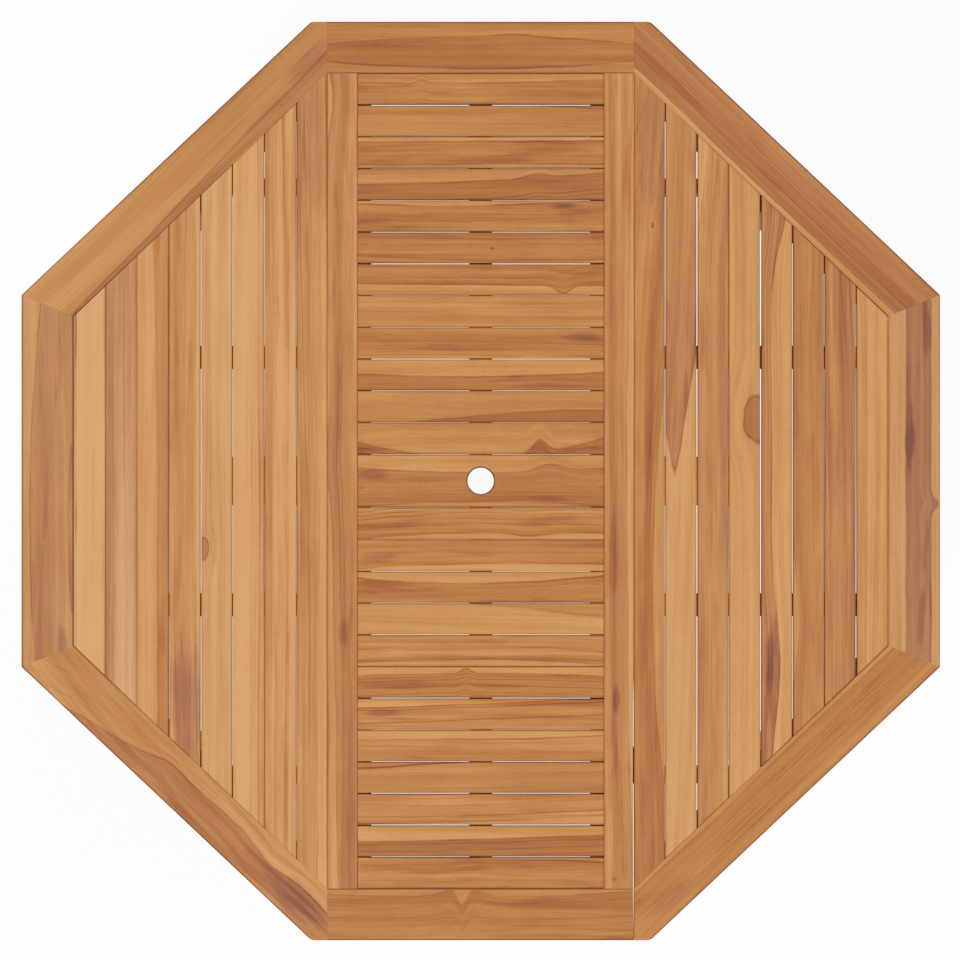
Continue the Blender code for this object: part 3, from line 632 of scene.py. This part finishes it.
BRACKET_STEEL = plated_steel("zinc_plated_sheet", srgb(168, 171, 174), 0.42)
pan_head = screw_head("pan_head", PAN_HEAD / 2, PAN_HEIGHT, PAN_RIM, 24)
for node in nodes_of("seam_bracket"):
    low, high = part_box(node)
    bracket = copy_of(node, "steel_" + node)
    ease(bracket, lambda a, b: (a - b).length > HOLE_FACET, BRACKET_EASE, 2)
    finish(bracket, BRACKET_STEEL, "bracket_steel", node)
    sheet = min(vertex.co.z for vertex in bracket.data.vertices
                if vertex.co.z > high.z - 1.5 * BRACKET_SHEET)
    upright_y = max((low.y, high.y), key=abs)
    inward = -1 if upright_y > 0 else 1
    places = []
    for spot in (-0.5, 0.5):
        x = (low.x + high.x) / 2 + spot * BRACKET_HOLE_SPACING
        places.append(Matrix.Translation((x, upright_y + inward * BRACKET_HOLE_OUT, sheet)))
        places.append(Matrix.Translation((x, upright_y + inward * (high.z - sheet),
                                          high.z - BRACKET_HOLE_OUT))
                      @ Matrix.Rotation(inward * math.pi / 2, 4, "X"))
    set_screws("screws_" + node, pan_head, places)

# Frame of the centre panel
# Two end rails, with two stiles tenoned between them. The stiles are rebated, so that a lip
# carries the ends of the slats.
FRAME_EASE = 0.0007


def ease_lengthways(piece, width, along, in_joint):
    """Round over a frame member's long edges, but not where in_joint(middle) is true."""
    in_face = in_faces(piece)
    ease(piece, lambda a, b: (a - b).length > 1e-5 and in_face(a, b)
         and abs((a - b).normalized().dot(along)) > 0.99 and not in_joint((a + b) / 2), width)


def slice_across(piece, axis, *places):
    """Add an edge loop round the piece in the plane across the axis at each place."""
    select_only(piece)
    bpy.ops.object.mode_set(mode="EDIT")
    for place in places:
        point, square = [0.0, 0.0, 0.0], [0.0, 0.0, 0.0]
        point[axis], square[axis] = place, 1.0
        bpy.ops.mesh.select_all(action="SELECT")
        bpy.ops.mesh.bisect(plane_co=point, plane_no=square)
    bpy.ops.object.mode_set(mode="OBJECT")


def between(value, table):
    """The table's value there, straight between its (place, value) rows."""
    for (start, low), (end, high) in zip(table, table[1:]):
        if value <= end:
            return low + (high - low) * max(0.0, value - start) / (end - start)
    return table[-1][1]


FIT = 0.0003                  # left open by the CAD between a shoulder and its rail
SEAM_SLICES = (-0.29, -0.25, 0.0)
SEAMS = {"left": ((-0.6, 0.0009), (0.6, 0.0009)),      # (y, how far the edge lies out)
         "right": ((-0.6, 0.0003), (-0.53, -0.0006), (-0.29, -0.0006), (-0.25, 0.0004),
                   (0.0, 0.0006), (0.6, 0.0009))}
# Some figures set their own strength of the painted shade along a board's long edges.
CENTRE_FRAME = {
    "centre_end_rail_back": dict(
        seed=3.3, tone=0.60, contrast=0.5, across=-0.007, half=0.018, bend=-0.23, heart=0.5,
        line=0.8, hill=(0.045, 0.003, 0.03)),
    "centre_end_rail_front": dict(
        seed=4.3, tone=0.67, heart=0.55, line=0.45, hill=(-0.0245, 0.010, 0.035),
        hill_2=(-0.0245, -0.020, 0.008), low=(22, 20, 27), span=0.36),
    "centre_stile_left": dict(
        seed=7.1, tone=0.78, contrast=0.7, heart=0.7, line=0.5, grey=0.02, soiled=0.3,
        hill=(0.02, 0.006, 0.05), hill_2=(0.50, -0.008, 0.05), stain=(-0.197, 0.0, 0.007, 0.6),
        low=(4, 11, 20), span=1.06),
    "centre_stile_right": dict(
        seed=8.1, tone=0.88, contrast=0.7, heart=0.75, line=0.4, grey=0.02, soiled=0.3,
        knot=(-0.52, 0.006, 0.0018), stain=(-0.285, 0.004, 0.005, 0.9), high=(-14, -7, -15),
        span=1.06),
}
seam_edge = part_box("centre_end_rail_back")[1].x
stile_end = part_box("centre_end_rail_back")[0].y - FIT
stile_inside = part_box("centre_parasol_slat")[1].x
for node, figure in CENTRE_FRAME.items():
    is_rail = "rail" in node
    member = copy_of(node, "teak_" + node)
    if is_rail:
        slice_across(member, 0, -stile_inside - FIT, stile_inside + FIT)
    else:
        slice_across(member, 1, *SEAM_SLICES)
    for vertex in member.data.vertices:
        place = vertex.co
        if abs(abs(place.x) - seam_edge) < NEAR:
            if place.x > 0:
                place.x += between(place.y, SEAMS["right"])
            else:
                place.x -= between(place.y, SEAMS["left"])
        if not is_rail and abs(abs(place.y) - stile_end) < NEAR:
            place.y += math.copysign(0.9 * FIT, place.y)
    low, high = top_face(member)
    size, along = high - low, Vector((1, 0, 0) if is_rail else (0, 1, 0))
    ease_lengthways(member, FRAME_EASE, along, lambda spot: is_rail
                    and abs(spot.x) > stile_inside and abs(spot.y) < stile_end + 0.001)
    wood = teak("teak_" + node, (low + high) / 2, along, size.y if is_rail else size.x,
                **figure)
    finish(member, wood, "frame_teak", node)

# Frames of the wing panels
# A stile along the seam, a rim board outside, and a slanting rail at each end, whose corner at
# the end of the table is rounded.
CORNER_ROUNDING = 0.004

# Some figures set their own strength of the painted shade along a board's long edges.
WING_FRAME = {
    "wing_stile_left": dict(
        seed=11.4, tone=0.81, contrast=0.75, heart=0.38, line=0.4, grey=0.02, soiled=0.6,
        stain=(0.44, -0.003, 0.035, 0.45), high=(-3, 0, 14), span=1.0),
    "wing_stile_right": dict(
        seed=12.4, tone=0.68, across=0.03, half=0.036, taper=0.0775, bend=0.25, heart=0.6,
        line=0.5, grey=0.01, soiled=0.3, knot=(0.334, -0.004, 0.002),
        stain=(0.44, -0.008, 0.035, 0.5)),
    # The left rim's strong painted shade on its edges stands for the dark gap beside the outer
    # slat.
    "wing_rim_left": dict(
        seed=14.4, tone=0.70, heart=0.62, line=0.6, red=0.1, grey=0.05, soiled=1.5,
        stain=(-0.215, -0.019, 0.008, 0.7), low=(14, 19, 4), span=0.48),
    "wing_rim_right": dict(
        seed=15.4, tone=0.78, across=-0.0056, half=0.0135, heart=1.15, line=0.4, grey=0.06,
        soiled=0.6, hill_side=-1, hill=(-0.03, 0.011, 0.010), stain=(0.05, 0.004, 0.008, 0.7)),
    "wing_diagonal_back_left": dict(
        seed=21.4, tone=0.65, contrast=0.5, heart=0.5, line=0.4, grey=0.02,
        stain=(0.225, -0.002, 0.014, 0.6), low=(-34, -22, -10), span=0.52),
    "wing_diagonal_back_right": dict(
        seed=22.4, tone=0.63, contrast=0.5, heart=0.8, line=0.8, red=0.1, grey=0.02,
        high=(-20, -21, -20), span=0.52),
    "wing_diagonal_front_left": dict(
        seed=23.4, tone=0.68, contrast=0.75, heart=0.7, line=1.0, wander=0.014, grey=0.02,
        hill=(-0.03, 0.008, 0.03), hill_2=(0.15, -0.010, 0.04), stain=(0.205, -0.009, 0.020, 0.95),
        low=(-60, 2, 2), span=0.52),
    "wing_diagonal_front_right": dict(
        seed=24.4, tone=0.72, heart=0.6, line=0.5, stain=(-0.21, -0.010, 0.014, 0.5),
        low=(22, 22, 23), span=0.52),
}
corners = [vertex.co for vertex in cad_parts["wing_diagonal_back_right"].data.vertices]
top_z, tip = max(c.z for c in corners), max(c.y for c in corners)
seam_x = min(c.x for c in corners)
end_corner = max((c for c in corners if c.y > tip - NEAR), key=lambda c: c.x)
rim_corner = max((c for c in corners if c.x > tip - NEAR), key=lambda c: c.y)
seam_inner = min((c for c in corners if c.x < seam_x + NEAR and c.z > top_z - NEAR),
                 key=lambda c: c.y)
mitre_inner = min((c for c in corners if c.z > top_z - NEAR), key=lambda c: c.y)
rail_inward = Vector((rim_corner.y - end_corner.y, end_corner.x - rim_corner.x, 0)).normalized()
rail_width = (mitre_inner - rim_corner).dot(rail_inward)
rail_middle = (end_corner + rim_corner) / 2 + rail_inward * rail_width / 2
stile_edge = top_face(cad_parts["wing_stile_right"])[1].x


def close_gap(piece, start, end):
    """Move the piece's ends, which lie on the line from start to end, up to their joints."""
    for vertex in piece.data.vertices:
        place = vertex.co
        share = (abs(place.x) - start.x) / (end.x - start.x)
        line_y = start.y + share * (end.y - start.y)
        if abs(abs(place.y) - line_y) < NEAR:
            place.y += math.copysign(FIT, place.y)


for node, figure in WING_FRAME.items():
    board = copy_of(node, "teak_" + node)
    low, high = top_face(board)
    middle, width, along = (low + high) / 2, high.x - low.x, Vector((0, 1, 0))
    side = 1 if high.x > abs(low.x) else -1
    end = 1 if high.y > abs(low.y) else -1
    if "diagonal" in node:
        along = Vector((rail_inward.y, -rail_inward.x, 0))
        along = Vector((abs(along.x), -abs(along.y) * side * end, 0))
        middle = Vector((side * rail_middle.x, end * rail_middle.y, high.z))
        width = rail_width
        slice_across(board, 0, side * stile_edge)
        ease(board, lambda a, b: abs(a.x - side * end_corner.x) < NEAR
             and abs(b.x - side * end_corner.x) < NEAR and abs(a.y - end * tip) < NEAR,
             CORNER_ROUNDING, 4)
    elif "rim" in node:
        inner = Vector((min(abs(low.x), abs(high.x)), 0, 0))
        inner.y = max(abs(vertex.co.y) for vertex in board.data.vertices
                      if vertex.co.z > high.z - NEAR
                      and abs(abs(vertex.co.x) - inner.x) < NEAR)
        close_gap(board, inner, Vector((tip, high.y, 0)))
    else:
        slant = (mitre_inner.y - seam_inner.y) / (mitre_inner.x - seam_inner.x)
        ends = [vertex.co for vertex in board.data.vertices if vertex.co.z > high.z - NEAR]
        first = max(ends, key=lambda c: c.y * 1000 - abs(c.x))
        start = Vector((abs(first.x), first.y, 0))
        close_gap(board, start, start + Vector((1, slant, 0)))
    ease_lengthways(board, FRAME_EASE, along, lambda spot: abs(spot.x) < stile_edge
                    and "diagonal" in node and abs(spot.y) < seam_inner.y)
    wood = teak("teak_" + node, middle, along, width, **figure)
    finish(board, wood, "frame_teak", node)

# Battens of the wings
# Two under each wing's slats, tenoned into the stile and the rim.
BATTEN_WIDTH = 0.030

for number, node in enumerate(sorted(nodes_of("wing_batten"))):
    batten = copy_of(node, "teak_" + node)
    ease_faces(batten, FRAME_EASE)
    wood = teak("teak_" + node, face_of(batten), (1, 0, 0), BATTEN_WIDTH, 71.4 + number,
                tone=0.52, contrast=0.5)
    finish(batten, wood, "base_teak", node)

# Wing slats
# Seven to a wing, cut off along the slanting rails, and screwed from below to the battens and
# to the lips of the rails.
SLAT_EASE = 0.0009
HEAD_FROM_END = 0.009          # a screw's middle, from the end of a slat
FLAT_HEAD = 0.0072             # diameter
FLAT_HEIGHT = 0.0012
FLAT_SUNK = 0.0010             # how much of its height lies in the wood
FLAT_RIM = 0.0002
SLAT_EDGE_SHADE = 0.45               # strength of the painted shade on a slat's edges, beside a frame's
SLAT_GAP = 0.0012              # as laid out, between the slats of every panel
WING_GAPS = {"left": (0.2, 0.75, 1.2, 1.4, 0.9, 0.15, 0.3, 1.0),     # from the stile, in mm
             "right": (0.75, 1.65, 0.78, 1.95, 1.4, 1.0, 1.4, 0.15)}
WING_LEANS = {"left": (0, -0.8, 0, 0, 0.6, 0, 0, 0),      # mm wider, for each metre to the front
              "right": (-1.2, -0.4, 0.8, -1.5, 0, -0.8, 1.5, 0)}
WING_FIGURES = {
    "left_1": dict(
        tone=0.97, contrast=0.9, heart=0.6, line=0.3, grey=0.02, high=(-6, -9, -3), span=1.0),
    "left_2": dict(tone=0.97, contrast=0.8, heart=0.3, grey=0.02, low=(-14, -15, -14), span=0.9),
    "left_3": dict(tone=0.82, grey=0.05, contrast=0.75, knot=(-0.088, 0.0176, 0.0080)),
    "left_4": dict(
        tone=0.90, heart=0.6, line=0.4, grey=0.02, stain=(-0.29, -0.004, 0.028, 0.9),
        high=(-14, -12, -12), span=0.8),
    "left_5": dict(tone=0.82, heart=0.6, line=0.3, grey=0.01, low=(-8, -9, -4), span=0.7),
    "left_6": dict(tone=0.70, grey=0.09, red=0.15, contrast=0.7),
    # The straight dark line of left_7, at its rim-side edge, is painted shade of the gap by the
    # rim.
    "left_7": dict(
        tone=1.0, grey=0.05, wander=0.001, heart=0.2, line=1.8, contrast=1.0,
        high=(20.3, 20.3, 20.3), span=0.6),
    "right_1": dict(
        tone=0.80, across=0.0088, half=-0.0020, taper=0.16, heart=1.15, line=0.7, rings=0.03,
        grey=0.03, contrast=0.55),
    "right_2": dict(
        tone=0.84, contrast=0.7, heart=0.6, line=0.4, grey=0.03, across=-0.029, half=0.050,
        hill=(0.44, -0.016, 0.10)),
    "right_3": dict(tone=0.81, contrast=0.45, grey=0.02, knot=(0.082, -0.0157, 0.017)),
    "right_4": dict(
        tone=0.86, heart=1.1, line=0.9, grey=0.03, hill=(0.36, 0.020, 0.07),
        hill_2=(-0.24, 0.014, 0.10), stain=(-0.235, 0.008, 0.012, 0.8), high=(11, 11, 11),
        span=0.7),
    "right_5": dict(
        tone=0.70, red=0.1, heart=0.55, line=0.5, grey=0.02, hill=(-0.19, -0.010, 0.08),
        low=(20, 19, 25), span=0.7),
    "right_6": dict(
        tone=0.62, grey=0.03, contrast=0.8, heart=0.5, line=0.4, high=(-25, -22, -8), span=0.62),
    "right_7": dict(tone=0.75, contrast=0.7, grey=0.02),
}
flat_head = screw_head("flat_head", FLAT_HEAD / 2, FLAT_HEIGHT, FLAT_RIM, 16)
screw_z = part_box("wing_rim_left")[0].z + FLAT_SUNK
for side_number, side in enumerate(("left", "right")):
    first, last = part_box(f"wing_slat_{side}_1"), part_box(f"wing_slat_{side}_7")
    sign = 1 if side == "right" else -1
    edge_x = [first[0].x, last[0].x] if sign > 0 else [first[1].x, last[1].x]
    run = Vector((edge_x[1] - edge_x[0], last[1].y - first[1].y, 0.0))
    screw_places = []
    for number in range(1, 8):
        node = f"wing_slat_{side}_{number}"
        low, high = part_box(node)
        gaps = WING_GAPS[side][number - 1:number + 1]
        before, after = [gap / 2000 - SLAT_GAP / 2 for gap in gaps[::sign]]
        slat_ends = low.x + before, high.x - after
        slat = add_block("teak_" + node, Vector((slat_ends[0], low.y, low.z)),
                         Vector((slat_ends[1], high.y, high.z)))
        bpy.ops.object.mode_set(mode="EDIT")
        for end in (-1, 1):
            square = Vector((sign * abs(run.y), end * abs(run.x), 0.0)).normalized()
            bpy.ops.mesh.select_all(action="SELECT")
            bpy.ops.mesh.bisect(plane_co=(edge_x[0], end * first[1].y, 0.0), plane_no=square,
                                use_fill=True, clear_outer=True)
        bpy.ops.object.mode_set(mode="OBJECT")
        ease(slat, lambda a, b: True, SLAT_EASE)
        middle = Vector((sum(slat_ends) / 2, 0, high.z))
        for vertex in slat.data.vertices:
            inner = abs(vertex.co.x) < abs(middle.x)
            lean = WING_LEANS[side][number - 1] if inner else -WING_LEANS[side][number]
            vertex.co.x -= sign * lean / 2000 * vertex.co.y
        wood = teak("teak_" + node, middle, (0, 1, 0), slat_ends[1] - slat_ends[0],
                    101.7 + number + 10 * side_number, soiled=SLAT_EDGE_SHADE,
                    **WING_FIGURES[f"{side}_{number}"])
        finish(slat, wood, "wing_slat_teak", node)
        end_y = first[1].y + (middle.x - edge_x[0]) * run.y / run.x - HEAD_FROM_END
        batten_y = middle_of("wing_batten_back_" + side).y
        screw_places += [Matrix.Translation((middle.x, y, screw_z))
                         for y in (-end_y, -batten_y, batten_y, end_y)]
    set_screws(f"wing_slat_screws_{side}", flat_head, screw_places)

# Slats of the centre panel
# Twelve narrow slats at each end, screwed from below to the stiles' lips and to a batten that
# is tenoned into the end rail, and a wide one between them with the parasol hole.
SLATS_PER_END = 12
# Gaps in mm, from the wide slat outwards
CENTRE_GAPS = {"back": (0.42, 0.4, 0.72, 1.05, 0.7, 0.62, 1.37, 1.15, 0.92, 0.88, 0.88, 1.57, 0.3),
               "front": (0.2, 0.2, 0.72, 0.67, 0.92, 0.42, 1.15, 0.75, 1.15, 1.4, 1.57, 1.33, 0.3)}
BATTEN_TENON = 0.010
LIP_SCREW = 0.008              # from the end of a slat
WIDE_SPREAD = 0.6              # share of the wide slat that lies between its screws
CENTRE_SPAN = 0.322            # of the slats that show between the stiles
CENTRE_FIGURES = {
    "back_1": dict(tone=0.56, heart=0.9, line=0.6, hill=(0.077, 0.017, 0.013), low=(-7, -27, -2)),
    "back_2": dict(tone=0.58, heart=0.8, line=0.5, contrast=0.5, low=(-34, -13, -7)),
    "back_3": dict(tone=0.74, heart=1.05, line=0.8, low=(1, -3, 1)),
    "back_4": dict(
        tone=0.75, heart=0.8, line=0.4, stain=(0.135, 0.008, 0.009, 0.7), high=(-14, -13, -16)),
    "back_5": dict(tone=0.66, contrast=0.8),
    "back_6": dict(tone=0.74, heart=0.9, line=0.7, hill=(0.108, 0.010, 0.012), high=(-3, -4, -6)),
    "back_7": dict(
        tone=0.65, contrast=0.75, heart=0.7, line=0.5, knot=(0.015, -0.001, 0.0016),
        high=(-10, -16, -14)),
    "back_8": dict(
        tone=0.80, contrast=0.75, heart=0.85, line=0.9, stain=(0.108, 0.013, 0.006, 1.0),
        low=(13, 11, 20)),
    "back_9": dict(tone=0.63, heart=0.9, line=0.8, hill=(0.072, 0.006, 0.018), low=(-1, 2, 12)),
    "back_10": dict(tone=0.78, contrast=0.8, across=-0.0005, half=0.0125, heart=0.8, line=0.6),
    "back_11": dict(tone=0.58, contrast=0.5, heart=0.5, line=0.5, high=(30, 26, 17)),
    "back_12": dict(
        tone=0.65, contrast=0.85, heart=0.7, line=0.8, hill=(-0.077, 0.005, 0.009),
        low=(6, 6, 10)),
    "front_1": dict(
        tone=0.91, contrast=0.8, heart=0.7, line=0.6, hill=(0.06, 0.0055, 0.03),
        stain=(0.10, 0.007, 0.010, 0.3), high=(-17, -8, -10)),
    "front_2": dict(
        tone=0.84, heart=0.8, line=0.6, stain=(-0.135, -0.003, 0.008, 0.5), high=(-15, -8, -8)),
    "front_3": dict(tone=0.78, heart=1.0, line=0.9, low=(10, 3, 12)),
    "front_4": dict(tone=0.82, contrast=0.45, heart=0.3, line=0.7, high=(39, 22, 6)),
    "front_5": dict(tone=0.80, contrast=0.8, heart=0.7, line=0.5, high=(-12, -9, -16)),
    "front_6": dict(tone=0.74, heart=0.95, line=0.7, hill=(-0.019, 0.007, 0.009), low=(6, 10, 4)),
    "front_7": dict(
        tone=0.79, contrast=1.0, heart=0.8, line=1.0, stain=(-0.13, 0.001, 0.007, 0.7),
        low=(4, 11, 20)),
    "front_8": dict(tone=0.83, contrast=0.85, heart=0.65, line=0.6, low=(7, 7, 12)),
    "front_9": dict(tone=0.60, heart=0.4, line=0.8, high=(14, 24, 34)),
    "front_10": dict(tone=0.74, contrast=0.8, heart=0.6, line=0.4, high=(-17, -13, -6)),
    "front_11": dict(tone=0.79, heart=1.35, line=0.7, red=0.2, low=(-3, 0, 6)),
    "front_12": dict(
        tone=0.84, contrast=0.9, heart=0.75, line=0.9, hill=(-0.017, 0.003, 0.012),
        low=(19, 17, 12)),
}
slat_low, slat_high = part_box("centre_parasol_slat")
screw_places = [Matrix.Translation((x, y, screw_z))
                for x in (slat_low.x + LIP_SCREW, slat_high.x - LIP_SCREW)
                for y in (-WIDE_SPREAD * slat_high.y, WIDE_SPREAD * slat_high.y)]
for end_number, end in enumerate(("front", "back")):
    node = "centre_slats_" + end
    sign = 1 if end == "back" else -1
    low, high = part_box(node)
    reach = sorted((abs(low.y), abs(high.y)))
    opening = reach[1] - BATTEN_TENON
    batten_ys = sorted((sign * reach[0], sign * (opening - FIT)))
    batten = add_block("teak_centre_batten_" + end,
                       Vector((-BATTEN_WIDTH / 2, batten_ys[0], low.z)),
                       Vector((BATTEN_WIDTH / 2, batten_ys[1], slat_low.z - FIT)))
    ease(batten, lambda a, b: True, FRAME_EASE)
    wood = teak(batten.name, (0, sum(batten_ys) / 2, low.z), (0, 1, 0), BATTEN_WIDTH,
                81.4 + end_number, tone=0.52, contrast=0.5)
    finish(batten, wood, "base_teak", node)
    pitch = (opening - FIT - slat_high.y) / SLATS_PER_END
    for number in range(SLATS_PER_END):
        before, after = [gap / 2000 for gap in CENTRE_GAPS[end][number:number + 2]]
        start = slat_high.y + SLAT_GAP / 2 + number * pitch
        inner = start + (before if number else 2 * before - SLAT_GAP / 2)
        outer = start + pitch - (after if number < SLATS_PER_END - 1 else SLAT_GAP / 2)
        ys = sorted((sign * inner, sign * outer))
        slat = add_block(f"teak_centre_slat_{end}_{number + 1}",
                         Vector((slat_low.x, ys[0], slat_low.z)),
                         Vector((slat_high.x, ys[1], slat_high.z)))
        ease(slat, lambda a, b: True, SLAT_EASE)
        middle = Vector((0, (ys[0] + ys[1]) / 2, slat_high.z))
        wood = teak(slat.name, middle, (1, 0, 0), ys[1] - ys[0],
                    131.1 + number + 20 * end_number, soiled=SLAT_EDGE_SHADE,
                    span=CENTRE_SPAN, **CENTRE_FIGURES[f"{end}_{number + 1}"])
        finish(slat, wood, "centre_slat_teak", node)
        screw_places += [Matrix.Translation((x, middle.y, screw_z))
                         for x in (slat_low.x + LIP_SCREW, 0.0, slat_high.x - LIP_SCREW)]
set_screws("centre_slat_screws", flat_head, screw_places)

wide = copy_of("centre_parasol_slat", "teak_parasol_slat")
ease_faces(wide, SLAT_EASE)
wood = teak("teak_parasol_slat", face_of(wide), (1, 0, 0),
            slat_high.y - slat_low.y, 199.0, tone=0.76, across=-0.007, half=0.016, bend=0.28,
            heart=0.8, line=0.7, hill=(0.09, 0.008, 0.022), stain=(-0.145, 0.009, 0.007, 0.7))
finish(wide, wood, "centre_slat_teak", "centre_parasol_slat")

# Floor and light
# A plain pale floor that keeps the table's shadow, and soft even light from above. The camera
# and reflections see both of them white.
FLOOR_SIZE = 14.0
FLOOR_DROP = 0.0005        # under the feet


def white_for_viewers(tree, low, high):
    """Low for the rays that light the object, high for those of the camera and reflections."""
    ray = tree.nodes.new("ShaderNodeLightPath")
    seen = ray.outputs["Is Camera Ray"]
    for kind in ("Is Glossy Ray", "Is Transmission Ray"):
        either = tree.nodes.new("ShaderNodeMath")
        either.operation = "MAXIMUM"
        tree.links.new(seen, either.inputs[0])
        tree.links.new(ray.outputs[kind], either.inputs[1])
        seen = either.outputs[0]
    level = tree.nodes.new("ShaderNodeMapRange")
    level.inputs["To Min"].default_value = low
    level.inputs["To Max"].default_value = high
    tree.links.new(seen, level.inputs["Value"])
    return level.outputs[0]


bpy.ops.object.select_all(action="DESELECT")
bpy.ops.mesh.primitive_plane_add(size=FLOOR_SIZE, location=(0.0, 0.0, -FLOOR_DROP))
floor = bpy.context.object
floor.name = "floor"
pale, nodes, links, shade = new_material("pale_floor")
links.new(white_for_viewers(pale.node_tree, 0.8, 1.0), shade.inputs["Base Color"])
shade.inputs["Roughness"].default_value = 0.9
glow = nodes.new("ShaderNodeEmission")
mixed = nodes.new("ShaderNodeMixShader")
links.new(white_for_viewers(pale.node_tree, 0.0, 0.9), mixed.inputs["Fac"])
links.new(shade.outputs[0], mixed.inputs[1])
links.new(glow.outputs[0], mixed.inputs[2])
# Clear to a camera below it, so that the underside of the table can be looked at
from_below = nodes.new("ShaderNodeMath")
from_below.operation = "MULTIPLY"
links.new(nodes.new("ShaderNodeNewGeometry").outputs["Backfacing"], from_below.inputs[0])
links.new(nodes.new("ShaderNodeLightPath").outputs["Is Camera Ray"], from_below.inputs[1])
clear = nodes.new("ShaderNodeMixShader")
links.new(from_below.outputs[0], clear.inputs["Fac"])
links.new(mixed.outputs[0], clear.inputs[1])
links.new(nodes.new("ShaderNodeBsdfTransparent").outputs[0], clear.inputs[2])
links.new(clear.outputs[0], nodes["Material Output"].inputs["Surface"])
floor.data.materials.append(pale)

world = bpy.data.worlds.new("studio")
scene.world = world
world.use_nodes = True
sky = world.node_tree.nodes["Background"]
sky.inputs["Color"].default_value = (1.0, 1.0, 1.0, 1.0)
world.node_tree.links.new(white_for_viewers(world.node_tree, 0.62, 1.0), sky.inputs["Strength"])

for name, turn, power, angle in (("key", (32, -24, 0), 0.95, 40),
                                 ("fill", (-28, 34, 0), 0.45, 60)):
    lamp = bpy.data.lights.new(name + "_light", "SUN")
    lamp.energy = power
    lamp.angle = math.radians(angle)
    hung = bpy.data.objects.new(name + "_light", lamp)
    hung.rotation_euler = [math.radians(value) for value in turn]
    scene.collection.objects.link(hung)

# Camera
# Straight above the table, six metres over its top.
CAMERA_HEIGHT = 6.0
VIEW_WIDTH = 1.2542         # at the top
SENSOR = 36.0
BESIDE_MIDDLE = (-0.001, 0.0013)      # x and y

camera = bpy.data.cameras.new("camera")
camera.sensor_width = SENSOR
camera.lens = SENSOR * CAMERA_HEIGHT / VIEW_WIDTH
camera.clip_end = 40.0
held = bpy.data.objects.new("camera", camera)
held.location = (*BESIDE_MIDDLE, cad_box[1][2] + CAMERA_HEIGHT)
scene.collection.objects.link(held)
scene.camera = held
scene.view_settings.view_transform = "Standard"
